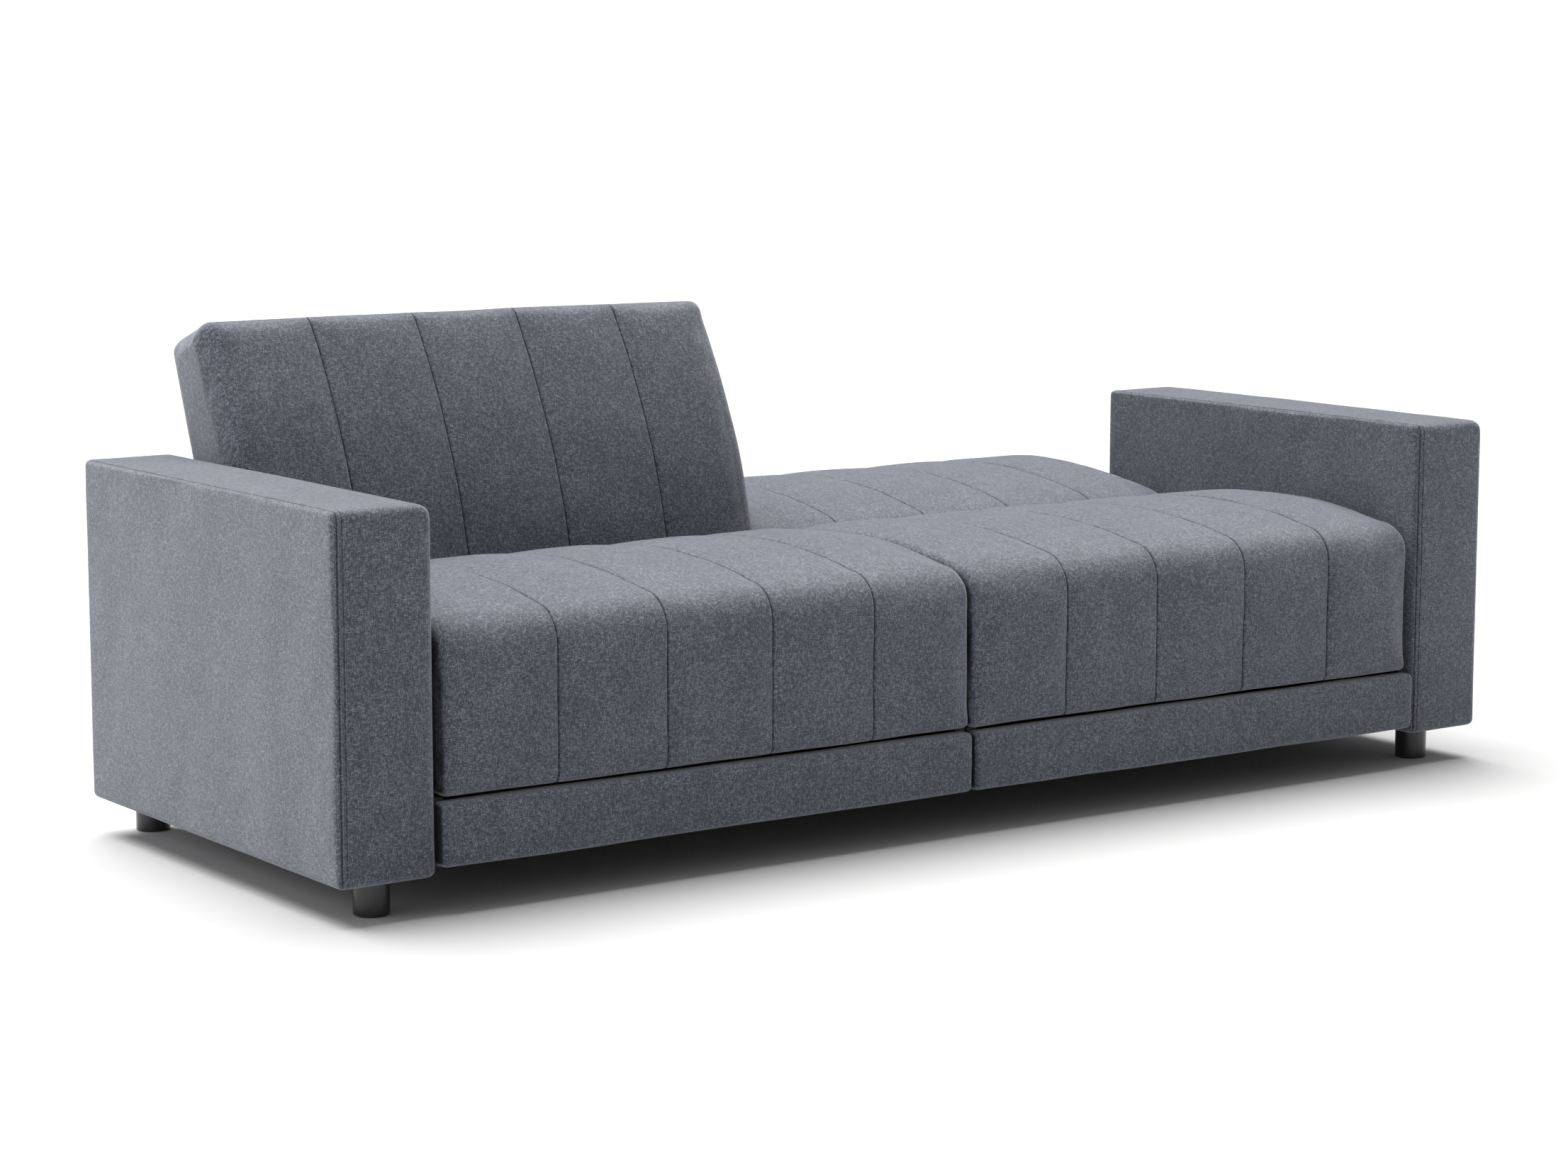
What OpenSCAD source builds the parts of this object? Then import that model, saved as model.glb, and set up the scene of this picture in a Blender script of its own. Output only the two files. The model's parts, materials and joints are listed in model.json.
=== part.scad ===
// Split-back futon sofa bed: two upholstered track arms, two seats and two backs that recline apart.
// Millimetres. X runs along the sofa, Y from front to back, Z up. The origin is on the floor,
// under the middle of the box that holds the sofa with its left back up and its right back down.

/* [Overall] */
// Width over both arms
total_w = 2100; // [1980:10:2220]
// Width of one arm
arm_w = 149; // [130:1:180]
// Depth of an arm, front to back
arm_d = 760; // [745:1:780]
// Height of the arm tops
arm_top = 554; // [520:1:600]
// Clear height under the arms
arm_bottom = 53; // [48:1:56]
// Rounding of the arm's edges
arm_r = 14; // [6:1:24]

/* [Seats] */
// Gap between an arm and the seat and back beside it
side_gap = 12; // [8:1:16]
// Half the gap between the two halves
centre_gap = 2; // [1.5:0.5:3]
// Depth of a seat
seat_d = 512; // [495:1:515]
// Underside of a seat
seat_bottom = 158; // [157:1:160]
// Height of the top of the seat's crown
seat_top = 423; // [415:1:430]
// How far the crown rises above the seat's front edge
seat_crown = 22; // [16:1:28]
// Rounding of the seat's front edge
seat_front_r = 52; // [40:1:60]
// Rounding of the seat's rear edge
seat_rear_r = 28; // [20:1:32]

/* [Backs] */
// Distance of the hinge axis behind the arm fronts
hinge_y = 637; // [635:1:642]
// Height of the hinge axis above the floor
hinge_z = 282; // [280:1:286]
// Rear end of a back that lies flat
bed_d = 1100; // [1060:1:1120]
// Angle that a back turns from flat to upright
upright_angle = 69; // [60:1:72]
// Height of the crown's top on a back that lies flat
back_top = 427; // [422:1:432]
// How far the crown rises above the ends of the back
back_crown = 27; // [20:1:32]
// Radius of the back's lower end about the hinge axis
roll_r = 120; // [114:1:121]

/* [Upholstery] */
// Thickness of a sewn cover
cover_t = 2.5; // [2:0.5:3]
// Thickness of the padded covers on the arms, rails and rear panels
padded_t = 5; // [3:1:8]

/* [Base] */
// Thickness of the frame boards
board_t = 18; // [15:1:18]
// Underside of the base rails
rail_bottom = 65; // [60:1:68]
// Gap between an arm and the rail and panel beside it
rail_gap = 4; // [2:1:8]
// Top of the front rails
front_rail_top = 154; // [150:1:155]
// Top of the rear panels
rear_panel_top = 262; // [200:1:266]
// Radius of an arm's foot
foot_r = 25; // [20:1:28]
// Radius of a centre foot
centre_foot_r = 20; // [16:1:24]

/* [Hinges] */
// Thickness of the hinge plates and arms
plate_t = 4; // [3:0.5:4]
// Radius of the hinge pin
pin_r = 6; // [5:0.5:7]
// Radius of the notched disc
disc_r = 26; // [24:1:27]
// Running clearance of the pins
run_gap = 0.06; // [0.03:0.01:0.09]
// Side clearance between the hinge pieces
side_play = 0.3; // [0.2:0.1:0.4]

/* [Hidden] */

left = -1;
right = 1;
outer = 1;
inner = 0;

// Overall places
rail_proud = 8;
frame_y = -(bed_d - rail_proud) / 2;
arm_x = total_w / 2 - arm_w;
pad_in = centre_gap;
pad_out = arm_x - side_gap;
pad_w = pad_out - pad_in;
pad_mid = (pad_in + pad_out) / 2;

// Arms
arm_board_t = 15;
panel_t = 3;
arm_in = arm_x + padded_t + panel_t;
arm_out = total_w / 2 - padded_t - panel_t;
arm_frame_w = arm_out - arm_in;
arm_front = padded_t;
arm_back = arm_d - padded_t;
arm_lid = arm_top - padded_t;
arm_low = arm_bottom + padded_t;

// Feet
foot_inset_x = 83;
foot_front_y = 65;
foot_rear_y = arm_d - 30;
centre_foot_ys = [420, 690];
foot_chamfer = 2;
bolt_r = 4;
bolt_play = 0.2;
foot_bolt_low = 28;
foot_bolt_past = 8;
washer_r = 8.5;
washer_t = 2;

// Base
base_back = 740;
panel_front = base_back - board_t - padded_t;
rail_front = board_t - rail_proud + padded_t;
rail_out = arm_x - rail_gap;
dust_t = 1.5;
bolt_z = 110;
arm_bolt_ys = [90, 330, 560];
hinge_bolt_ys = [hinge_y - 17, hinge_y + 18];
head_r = 7;
head_t = 5;

// Seats
spring_z = 270;
spring_t = 4;
front_pad_t = 20;
seat_frame_front = cover_t + front_pad_t;
seat_frame_back = seat_d - cover_t;
seat_arc_y = seat_front_r;
seat_mid_y = (seat_arc_y + seat_d - seat_rear_r) / 2;
seat_half = seat_mid_y - seat_arc_y;
spring_count = 5;
loop_count = 9;
wire_w = 4;

// Backs
heel_run = 77;
roll_top_angle = 100;
roll_low_angle = 150;
top_end_r = 22;
back_arc_y = bed_d - top_end_r;
roll_end_y = hinge_y + roll_r * cos(roll_top_angle);
back_mid_y = (roll_end_y + back_arc_y) / 2;
back_half = back_arc_y - back_mid_y;
post_z = 3;
post_h = 45;
frame_low_y = hinge_y + 63;
frame_high_y = bed_d - 14;
strap_t = 2;
strap_w = 50;
strap_ys = [760, 845, 930, 1015];
foam_z = hinge_z + post_z + post_h + strap_t;
heel_wall = 12;
well_z = hinge_z + 46;
well_side = 1;
end_r = 22;
side_r = 20;

// Hinges, from the end of a half inwards
plate_in = pad_in + board_t;
arm_plate_x = plate_in + plate_t + side_play;
arm_plate_out = arm_plate_x + plate_t;
pin_head_t = 3;
pin_head_r = 11;
pin_head_out = arm_plate_out + side_play + pin_head_t;
notch_w = 11;
notch_depth = 6;
neck_w = 26;
foot_plate_w = 70;
arm_plate_r = 20;
arm_plate_l = 190;
arm_plate_low = 8;
arm_plate_w = 36;
pawl_y = 36;
pawl_z = 34;
pawl_pin_r = 4;
pawl_eye_r = 8;
pawl_gap = 0.5;
tooth_h = 6;
screw_ys = [115, 145, 175];

// ---- Shared shapes ----

// Puts a right-hand shape, drawn with Y from the arm fronts, in the sofa's frame on either side
module on_side(side) {
    translate([0, frame_y, 0])
        mirror([side < 0 ? 1 : 0, 0, 0])
            children();
}

// The same for a shape on a back, drawn lying flat: the left back stands upright
module on_back(side) {
    on_side(side)
        translate([0, hinge_y, hinge_z])
            rotate([side < 0 ? upright_angle : 0, 0, 0])
                translate([0, -hinge_y, -hinge_z])
                    children();
}

// Repeats a shape from the inner end of a half at its outer end
module at_end(place) {
    if (place == outer) {
        translate([2 * pad_mid, 0, 0])
            mirror([1, 0, 0])
                children();
    } else {
        children();
    }
}

module both_ends() {
    at_end(inner) children();
    at_end(outer) children();
}

// A box from one corner to the other
module span(low, high) {
    translate(low)
        cube(high - low);
}

// An outline in Y and Z, drawn out along X
module along_x(x0, x1) {
    translate([x0, 0, 0])
        rotate([90, 0, 90])
            linear_extrude(x1 - x0)
                children();
}

// An outline in X and Z, drawn out along Y
module along_y(y0, y1) {
    translate([0, y1, 0])
        rotate([90, 0, 0])
            linear_extrude(y1 - y0)
                children();
}

// A rod along X
module rod(x0, x1, y, z, r) {
    translate([x0, y, z])
        rotate([0, 90, 0])
            cylinder(h = x1 - x0, r = r, $fn = 48);
}

// A rectangle with its four corners rounded
module round_rect(low, high, r) {
    translate([low[0] + r, low[1]])
        square([high[0] - low[0] - 2 * r, high[1] - low[1]]);
    translate([low[0], low[1] + r])
        square([high[0] - low[0], high[1] - low[1] - 2 * r]);
    for (x = [low[0] + r, high[0] - r], z = [low[1] + r, high[1] - r])
        translate([x, z])
            circle(r = r, $fn = 48);
}

// An arc's points, in Y and Z
function arc(y, z, r, from, to, n) = [
    for (i = [0 : n]) let (a = from + (to - from) * i / n) [y + r * cos(a), z + r * sin(a)]
];

// The crown's points, between its two ends
function crown(mid, half, top, rise, inset, n) = [
    for (i = [1 : n - 1]) let (u = 2 * i / n - 1) [mid + half * u, top - rise * u * u - inset]
];

// Keeps the long upper edges at a half's two ends rounded
module rounded_ends(top, bottom, inset) {
    intersection() {
        children();
        along_y(-50, bed_d + 50)
            round_rect([pad_in + inset, bottom - 2 * side_r], [pad_out - inset, top - inset], side_r - inset);
    }
}

// ---- Arms ----

module arm_block(inset, low) {
    intersection() {
        translate([0, 0, low])
            linear_extrude(arm_top - inset - low)
                round_rect([arm_x + inset, inset], [total_w / 2 - inset, arm_d - inset], arm_r - inset);
        along_y(inset, arm_d - inset)
            round_rect([arm_x + inset, arm_bottom - 60], [total_w / 2 - inset, arm_top - inset], arm_r - inset);
    }
}

module arm_bolt_holes(r) {
    for (y = arm_bolt_ys)
        rod(arm_x - board_t - 1, arm_in + arm_board_t + 1, y, bolt_z, r);
}

module foot_bolt_holes() {
    for (y = [foot_front_y, foot_rear_y])
        translate([total_w / 2 - foot_inset_x, y, 0])
            cylinder(h = arm_top / 2, r = bolt_r + bolt_play, $fn = 32);
}

// Open box of boards: two ends, lid, base, a middle stud and a bolt rail
module arm_frame(side) {
    color("burlywood") on_side(side)
        difference() {
            union() {
                span([arm_in, arm_front, arm_low], [arm_out, arm_front + arm_board_t, arm_lid]);
                span([arm_in, arm_back - arm_board_t, arm_low], [arm_out, arm_back, arm_lid]);
                span([arm_in, arm_front, arm_low], [arm_out, arm_back, arm_low + arm_board_t]);
                span([arm_in, arm_front, arm_lid - arm_board_t], [arm_out, arm_back, arm_lid]);
                span([arm_in, arm_d / 2 - 10, arm_low], [arm_out, arm_d / 2 + 10, arm_lid]);
                span([arm_in, arm_front, bolt_z - 30], [arm_in + arm_board_t, arm_back, bolt_z + 30]);
            }
            arm_bolt_holes(bolt_r + bolt_play);
            foot_bolt_holes();
            corner_relief();
        }
}

// Takes the frame's long top edges back to the cover's inner rounding
module corner_relief() {
    for (x = [arm_in, arm_out], y = [arm_front, arm_back])
        translate([x, y, (arm_top + arm_bottom) / 2])
            cube([2 * arm_r - 2 * padded_t, 2 * arm_r - 2 * padded_t, arm_top], center = true);
    for (x = [arm_in, arm_out])
        translate([x, arm_d / 2, arm_lid])
            cube([2 * arm_r - 2 * padded_t, arm_d, 2 * arm_r - 2 * padded_t], center = true);
}

// Thin boards that close the arm's two faces under the cover
module arm_panels(side) {
    color("peru") on_side(side)
        difference() {
            for (x = [arm_in - panel_t, arm_out])
                span([x, arm_front + arm_r, arm_low], [x + panel_t, arm_back - arm_r, arm_lid - arm_r]);
            arm_bolt_holes(bolt_r + bolt_play);
        }
}

// Closed all round, with holes for the bolts and the feet's studs
module arm_cover(side) {
    color("slategray") on_side(side)
        difference() {
            arm_block(0, arm_bottom);
            arm_block(padded_t, arm_low);
            arm_bolt_holes(bolt_r + bolt_play);
            foot_bolt_holes();
        }
}

module arm_bolts() {
    color("silver")
        for (side = [left, right])
            on_side(side)
                for (y = arm_bolt_ys) {
                    rod(arm_x - board_t, arm_in + arm_board_t, y, bolt_z, bolt_r);
                    rod(arm_x - board_t - head_t, arm_x - board_t, y, bolt_z, head_r);
                }
}

// ---- Feet ----

module foot_body(r, h) {
    difference() {
        union() {
            cylinder(h = foot_chamfer, r1 = r - foot_chamfer, r2 = r, $fn = 64);
            translate([0, 0, foot_chamfer])
                cylinder(h = h - foot_chamfer, r = r, $fn = 64);
        }
        translate([0, 0, foot_bolt_low])
            cylinder(h = h, r = bolt_r, $fn = 32);
    }
}

module arm_foot(side, y) {
    color("black") on_side(side)
        translate([total_w / 2 - foot_inset_x, y, 0])
            foot_body(foot_r, arm_bottom);
}

module centre_feet() {
    color("black")
        for (y = centre_foot_ys)
            translate([0, frame_y + y, 0])
                foot_body(centre_foot_r, rail_bottom);
}

// A threaded stud and its washer over each foot; those of the centre feet stand between the rails
module foot_bolts() {
    color("silver") {
        for (side = [left, right], y = [foot_front_y, foot_rear_y])
            on_side(side)
                translate([total_w / 2 - foot_inset_x, y, 0]) {
                    translate([0, 0, foot_bolt_low])
                        cylinder(h = arm_low + arm_board_t + foot_bolt_past - foot_bolt_low, r = bolt_r, $fn = 32);
                    translate([0, 0, arm_low + arm_board_t])
                        cylinder(h = washer_t, r = washer_r, $fn = 48);
                }
        for (y = centre_foot_ys)
            translate([0, frame_y + y, foot_bolt_low])
                cylinder(h = rail_bottom - foot_bolt_low, r = bolt_r, $fn = 32);
    }
}

// ---- Base ----

// A board within its padded cover, which runs from y_open to y_face and is as high as top
module covered_board(y_open, y_face, top) {
    y_wrap = y_face + sign(y_open - y_face) * padded_t;
    span([pad_in + padded_t, min(y_open, y_wrap), rail_bottom + padded_t],
         [rail_out - padded_t, max(y_open, y_wrap), top - padded_t]);
}

// Padded fabric wrapped round a board and open on the board's inner face
module board_cover(y_open, y_face, top) {
    difference() {
        span([pad_in, min(y_open, y_face), rail_bottom], [rail_out, max(y_open, y_face), top]);
        covered_board(y_open + sign(y_open - y_face), y_face, top);
    }
}

module front_rail(side) {
    color("burlywood") on_side(side)
        covered_board(rail_front, -rail_proud, front_rail_top);
}

module front_rail_cover(side) {
    color("slategray") on_side(side)
        board_cover(rail_front, -rail_proud, front_rail_top);
}

module rear_panel(side) {
    color("burlywood") on_side(side)
        covered_board(panel_front, base_back, rear_panel_top);
}

module rear_panel_cover(side) {
    color("slategray") on_side(side)
        board_cover(panel_front, base_back, rear_panel_top);
}

module hinge_bolt_holes(r) {
    for (y = hinge_bolt_ys)
        rod(-pad_out, pad_out * 2, y, bolt_z, r);
}

module side_rail(side) {
    color("burlywood") on_side(side)
        difference() {
            span([arm_x - board_t, rail_front, rail_bottom], [arm_x, panel_front, seat_bottom]);
            arm_bolt_holes(bolt_r);
            hinge_bolt_holes(bolt_r);
        }
}

module centre_rail(side) {
    color("burlywood") on_side(side)
        difference() {
            span([pad_in, rail_front, rail_bottom], [plate_in, panel_front, seat_bottom]);
            hinge_bolt_holes(bolt_r);
        }
}

module dust_cover(side) {
    color("dimgray") on_side(side)
        difference() {
            span([pad_in, rail_front, rail_bottom - dust_t], [rail_out, base_back - padded_t, rail_bottom]);
            for (y = centre_foot_ys)
                translate([0, y, 0])
                    cylinder(h = arm_top, r = centre_foot_r + 2, $fn = 48);
        }
}

// ---- Seats ----

function seat_outline(inset) = concat(
    [[seat_d - inset, seat_bottom - inset], [inset, seat_bottom - inset]],
    arc(seat_arc_y, seat_top - seat_crown - seat_front_r, seat_front_r - inset, 180, 90, 8),
    crown(seat_mid_y, seat_half, seat_top, seat_crown, inset, 12),
    arc(seat_d - seat_rear_r, seat_top - seat_crown - seat_rear_r, seat_rear_r - inset, 90, 0, 6)
);

module seat_block(inset) {
    rounded_ends(seat_top, seat_bottom, inset)
        along_x(pad_in + inset, pad_out - inset)
            polygon(seat_outline(inset));
}

// Box of boards with two cross boards under the springs
module seat_frame(side) {
    x0 = pad_in + cover_t;
    x1 = pad_out - cover_t;
    third = (x1 - x0) / 3;
    color("burlywood") on_side(side) {
        span([x0, seat_frame_front, seat_bottom], [x1, seat_frame_front + board_t, spring_z]);
        span([x0, seat_frame_back - board_t, seat_bottom], [x1, seat_frame_back, spring_z]);
        for (x = [x0, x0 + third, x1 - board_t - third, x1 - board_t])
            span([x, seat_frame_front, seat_bottom], [x + board_t, seat_frame_back, spring_z]);
    }
}

// One flat serpentine spring, front to back, in X and Y
module serpentine() {
    pitch = (seat_frame_back - seat_frame_front - wire_w) / loop_count;
    reach = 22;
    for (i = [0 : loop_count - 1])
        translate([0, seat_frame_front + wire_w / 2 + pitch * (i + 0.5)])
            mirror([i % 2, 0])
                translate([reach, 0])
                    difference() {
                        circle(r = pitch / 2 + wire_w / 2, $fn = 32);
                        circle(r = pitch / 2 - wire_w / 2, $fn = 32);
                        translate([-pitch - wire_w, -pitch])
                            square([pitch + wire_w, 2 * pitch]);
                    }
    for (i = [0 : loop_count])
        translate([-reach - 0.1, seat_frame_front + pitch * i])
            square([2 * reach + 0.2, wire_w]);
}

module seat_springs(side) {
    color("gray") on_side(side)
        for (i = [1 : spring_count])
            translate([pad_in + pad_w * i / (spring_count + 1), 0, spring_z])
                linear_extrude(spring_t)
                    serpentine();
}

module seat_foam(side) {
    color("khaki") on_side(side)
        difference() {
            seat_block(cover_t);
            span([0, seat_frame_front, 0], [pad_out, seat_d, spring_z + spring_t]);
            span([0, -1, 0], [pad_out, seat_d, seat_bottom]);
        }
}

module seat_cover(side) {
    color("slategray") on_side(side)
        difference() {
            seat_block(0);
            seat_block(cover_t);
        }
}

// ---- Backs ----

function back_outline(inset) = concat(
    [[bed_d - inset, hinge_z - inset], [hinge_y - heel_run + inset, hinge_z - inset]],
    arc(hinge_y, hinge_z, roll_r - inset, roll_low_angle, roll_top_angle, 8),
    crown(back_mid_y, back_half, back_top, back_crown, inset, 12),
    arc(back_arc_y, back_top - back_crown - top_end_r, top_end_r - inset, 90, 0, 6)
);

module back_block(inset) {
    rounded_ends(back_top, hinge_z, inset)
        along_x(pad_in + inset, pad_out - inset)
            polygon(back_outline(inset));
}

// Ladder of two posts, two rails and two studs
module back_frame(side) {
    x0 = arm_plate_out;
    x1 = 2 * pad_mid - arm_plate_out;
    z0 = hinge_z + post_z;
    third = (x1 - x0) / 3;
    color("burlywood") on_back(side)
        difference() {
            union() {
                for (x = [x0, x0 + third, x1 - third - board_t, x1 - board_t])
                    span([x, frame_low_y, z0], [x + board_t, frame_high_y, z0 + post_h]);
                for (y = [frame_low_y, frame_high_y - board_t])
                    span([x0, y, z0], [x1, y + board_t, z0 + post_h]);
            }
            both_ends() arm_screws(bolt_r / 2);
        }
}

module back_webbing(side) {
    color("black") on_back(side)
        for (y = strap_ys)
            span([arm_plate_out, y, foam_z - strap_t], [2 * pad_mid - arm_plate_out, y + strap_w, foam_z]);
}

// Fills the cover, round a pocket for the frame and webbing and a well for each hinge
module back_foam(side) {
    color("khaki") on_back(side)
        difference() {
            back_block(cover_t);
            span([0, 0, 0], [pad_out, bed_d, hinge_z + post_z]);
            span([arm_plate_out, frame_low_y, 0], [2 * pad_mid - arm_plate_out, frame_high_y, foam_z]);
            both_ends() hinge_well(0, hinge_y + arm_plate_l, well_z);
        }
}

// Room round a hinge, from behind the foam's heel
module hinge_well(z0, y1, z1) {
    y0 = hinge_y - heel_run + 2 * cover_t + heel_wall;
    span([plate_in - well_side, y0, z0], [pin_head_out + well_side, y1, z1]);
}

module back_cover(side) {
    color("slategray") on_back(side)
        difference() {
            back_block(0);
            back_block(cover_t);
        }
}

// Thin board that closes the back's rear, slotted for the hinges
module back_rear_panel(side) {
    low = [pad_in + cover_t, hinge_y - heel_run + 2 * cover_t, hinge_z];
    color("slategray") on_back(side)
        difference() {
            span(low, [pad_out - cover_t, bed_d - cover_t, hinge_z + post_z]);
            both_ends() hinge_well(hinge_z - 1, hinge_y + 3 * disc_r, foam_z);
        }
}

// ---- Hinges ----

// Plate that is bolted to the base: a foot, a neck and a notched disc round the pin
module hinge_plate_shape() {
    difference() {
        union() {
            translate([hinge_y - foot_plate_w / 2, 75])
                square([foot_plate_w, 72]);
            translate([hinge_y - neck_w / 2, 140])
                square([neck_w, hinge_z - 140]);
            translate([hinge_y, hinge_z])
                circle(r = disc_r, $fn = 64);
        }
        translate([hinge_y, hinge_z]) {
            circle(r = pin_r, $fn = 48);
            for (a = [0, upright_angle / 2, upright_angle])
                rotate(a)
                    translate([disc_r - notch_depth, -notch_w / 2])
                        square([2 * notch_depth, notch_w]);
        }
        for (y = hinge_bolt_ys)
            translate([y, bolt_z])
                circle(r = bolt_r, $fn = 32);
    }
}

module hinge_plates(side) {
    color("dimgray") on_side(side)
        both_ends()
            along_x(plate_in, plate_in + plate_t)
                hinge_plate_shape();
}

module hinge_pins() {
    color("silver")
        for (side = [left, right])
            on_side(side)
                both_ends() {
                    rod(plate_in, pin_head_out, hinge_y, hinge_z, pin_r);
                    rod(arm_plate_out + side_play, pin_head_out, hinge_y, hinge_z, pin_head_r);
                }
}

// Blocks that carry the outer plates level with the inner ones
module hinge_blocks() {
    color("burlywood")
        for (side = [left, right])
            on_side(side)
                difference() {
                    span([2 * pad_mid - plate_in, hinge_y - 40, 75], [arm_x - board_t, hinge_y + 40, 147]);
                    hinge_bolt_holes(bolt_r);
                }
}

// The middle bolts run through both halves; the outer ones end in the side rails
module hinge_bolts() {
    reach = plate_in + plate_t;
    outer_x = 2 * pad_mid - reach;
    color("silver")
        for (y = hinge_bolt_ys) {
            translate([0, frame_y, 0]) {
                rod(-reach - head_t, reach + head_t, y, bolt_z, bolt_r);
                rod(-reach - head_t, -reach, y, bolt_z, head_r);
                rod(reach, reach + head_t, y, bolt_z, head_r);
            }
            for (side = [left, right])
                on_side(side) {
                    rod(outer_x - head_t, arm_x, y, bolt_z, bolt_r);
                    rod(outer_x - head_t, outer_x, y, bolt_z, head_r);
                }
        }
}

module arm_screws(r) {
    for (y = screw_ys)
        rod(plate_in, arm_plate_out + 14, hinge_y + y, hinge_z + 26, r);
}

// Arm that turns on the pin and is screwed to the back's end post
module hinge_arms(side) {
    color("dimgray") on_back(side)
        both_ends()
            difference() {
                along_x(arm_plate_x, arm_plate_out)
                    difference() {
                        union() {
                            translate([hinge_y, hinge_z])
                                circle(r = arm_plate_r, $fn = 64);
                            translate([hinge_y - 4, hinge_z + arm_plate_low])
                                square([arm_plate_l, arm_plate_w]);
                        }
                        translate([hinge_y, hinge_z]) {
                            circle(r = pin_r + run_gap, $fn = 48);
                            translate([pawl_y, pawl_z])
                                circle(r = pawl_pin_r, $fn = 32);
                        }
                    }
                arm_screws(bolt_r / 2);
            }
}

module pawl_pins(side) {
    color("silver") on_back(side)
        both_ends()
            rod(plate_in + side_play, arm_plate_out, hinge_y + pawl_y, hinge_z + pawl_z, pawl_pin_r);
}

// Leaf that presses the pawl into a notch
module pawl_springs(side) {
    back_of_pawl = pawl_y + pawl_gap + 4;
    color("silver") on_back(side)
        both_ends()
            along_x(plate_in + side_play, arm_plate_x)
                translate([hinge_y, hinge_z]) {
                    polygon([
                        [back_of_pawl, 6], [back_of_pawl + 1.2, 6],
                        [back_of_pawl + 6, 30], [back_of_pawl + 4.8, 30]
                    ]);
                    translate([back_of_pawl + 4.8, 28])
                        square([12, 10]);
                }
}

// Lever with one tooth, drawn lifted so that its tooth just clears the disc
module pawl(side, place) {
    color("gray") on_back(side)
        at_end(place)
            along_x(plate_in + side_play, arm_plate_x - side_play)
                translate([hinge_y, hinge_z])
                    difference() {
                        union() {
                            translate([pawl_y, pawl_z])
                                circle(r = pawl_eye_r, $fn = 48);
                            translate([pawl_y - 4, -tooth_h / 2])
                                square([8, pawl_z + tooth_h / 2]);
                            translate([disc_r + pawl_gap, -tooth_h / 2])
                                square([pawl_y - disc_r - pawl_gap, tooth_h]);
                        }
                        translate([pawl_y, pawl_z])
                            circle(r = pawl_pin_r + run_gap, $fn = 32);
                    }
}

arm_frame(left);  // arm_frame_left
arm_frame(right);  // arm_frame_right
arm_panels(left);  // arm_panels_left
arm_panels(right);  // arm_panels_right
arm_cover(left);  // arm_cover_left
arm_cover(right);  // arm_cover_right
arm_foot(left, foot_front_y);  // foot_front_left
arm_foot(right, foot_front_y);  // foot_front_right
arm_foot(left, foot_rear_y);  // foot_rear_left
arm_foot(right, foot_rear_y);  // foot_rear_right
centre_feet();
foot_bolts();
front_rail(left);  // front_rail_left
front_rail(right);  // front_rail_right
front_rail_cover(left);  // front_rail_cover_left
front_rail_cover(right);  // front_rail_cover_right
rear_panel(left);  // rear_panel_left
rear_panel(right);  // rear_panel_right
rear_panel_cover(left);  // rear_panel_cover_left
rear_panel_cover(right);  // rear_panel_cover_right
side_rail(left);  // side_rail_left
side_rail(right);  // side_rail_right
centre_rail(left);  // centre_rail_left
centre_rail(right);  // centre_rail_right
dust_cover(left);  // dust_cover_left
dust_cover(right);  // dust_cover_right
seat_frame(left);  // seat_frame_left
seat_frame(right);  // seat_frame_right
seat_springs(left);  // seat_springs_left
seat_springs(right);  // seat_springs_right
seat_foam(left);  // seat_foam_left
seat_foam(right);  // seat_foam_right
seat_cover(left);  // seat_cover_left
seat_cover(right);  // seat_cover_right
hinge_plates(left);  // hinge_plates_left
hinge_plates(right);  // hinge_plates_right
hinge_pins();
hinge_blocks();
arm_bolts();
hinge_bolts();
back_frame(left);  // back_frame_left
back_frame(right);  // back_frame_right
back_webbing(left);  // back_webbing_left
back_webbing(right);  // back_webbing_right
back_foam(left);  // back_foam_left
back_foam(right);  // back_foam_right
back_cover(left);  // back_cover_left
back_cover(right);  // back_cover_right
back_rear_panel(left);  // back_rear_panel_left
back_rear_panel(right);  // back_rear_panel_right
hinge_arms(left);  // hinge_arms_left
hinge_arms(right);  // hinge_arms_right
pawl_pins(left);  // pawl_pins_left
pawl_pins(right);  // pawl_pins_right
pawl_springs(left);  // pawl_springs_left
pawl_springs(right);  // pawl_springs_right
pawl(left, outer);  // pawl_left_outer
pawl(left, inner);  // pawl_left_inner
pawl(right, outer);  // pawl_right_outer
pawl(right, inner);  // pawl_right_inner
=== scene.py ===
"""Looks for the futon sofa bed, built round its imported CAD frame. Metres, in the row frame."""

import json
import math

import bmesh
import bpy
import numpy as np
from mathutils import Matrix, Vector, noise
from mathutils.bvhtree import BVHTree


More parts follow.
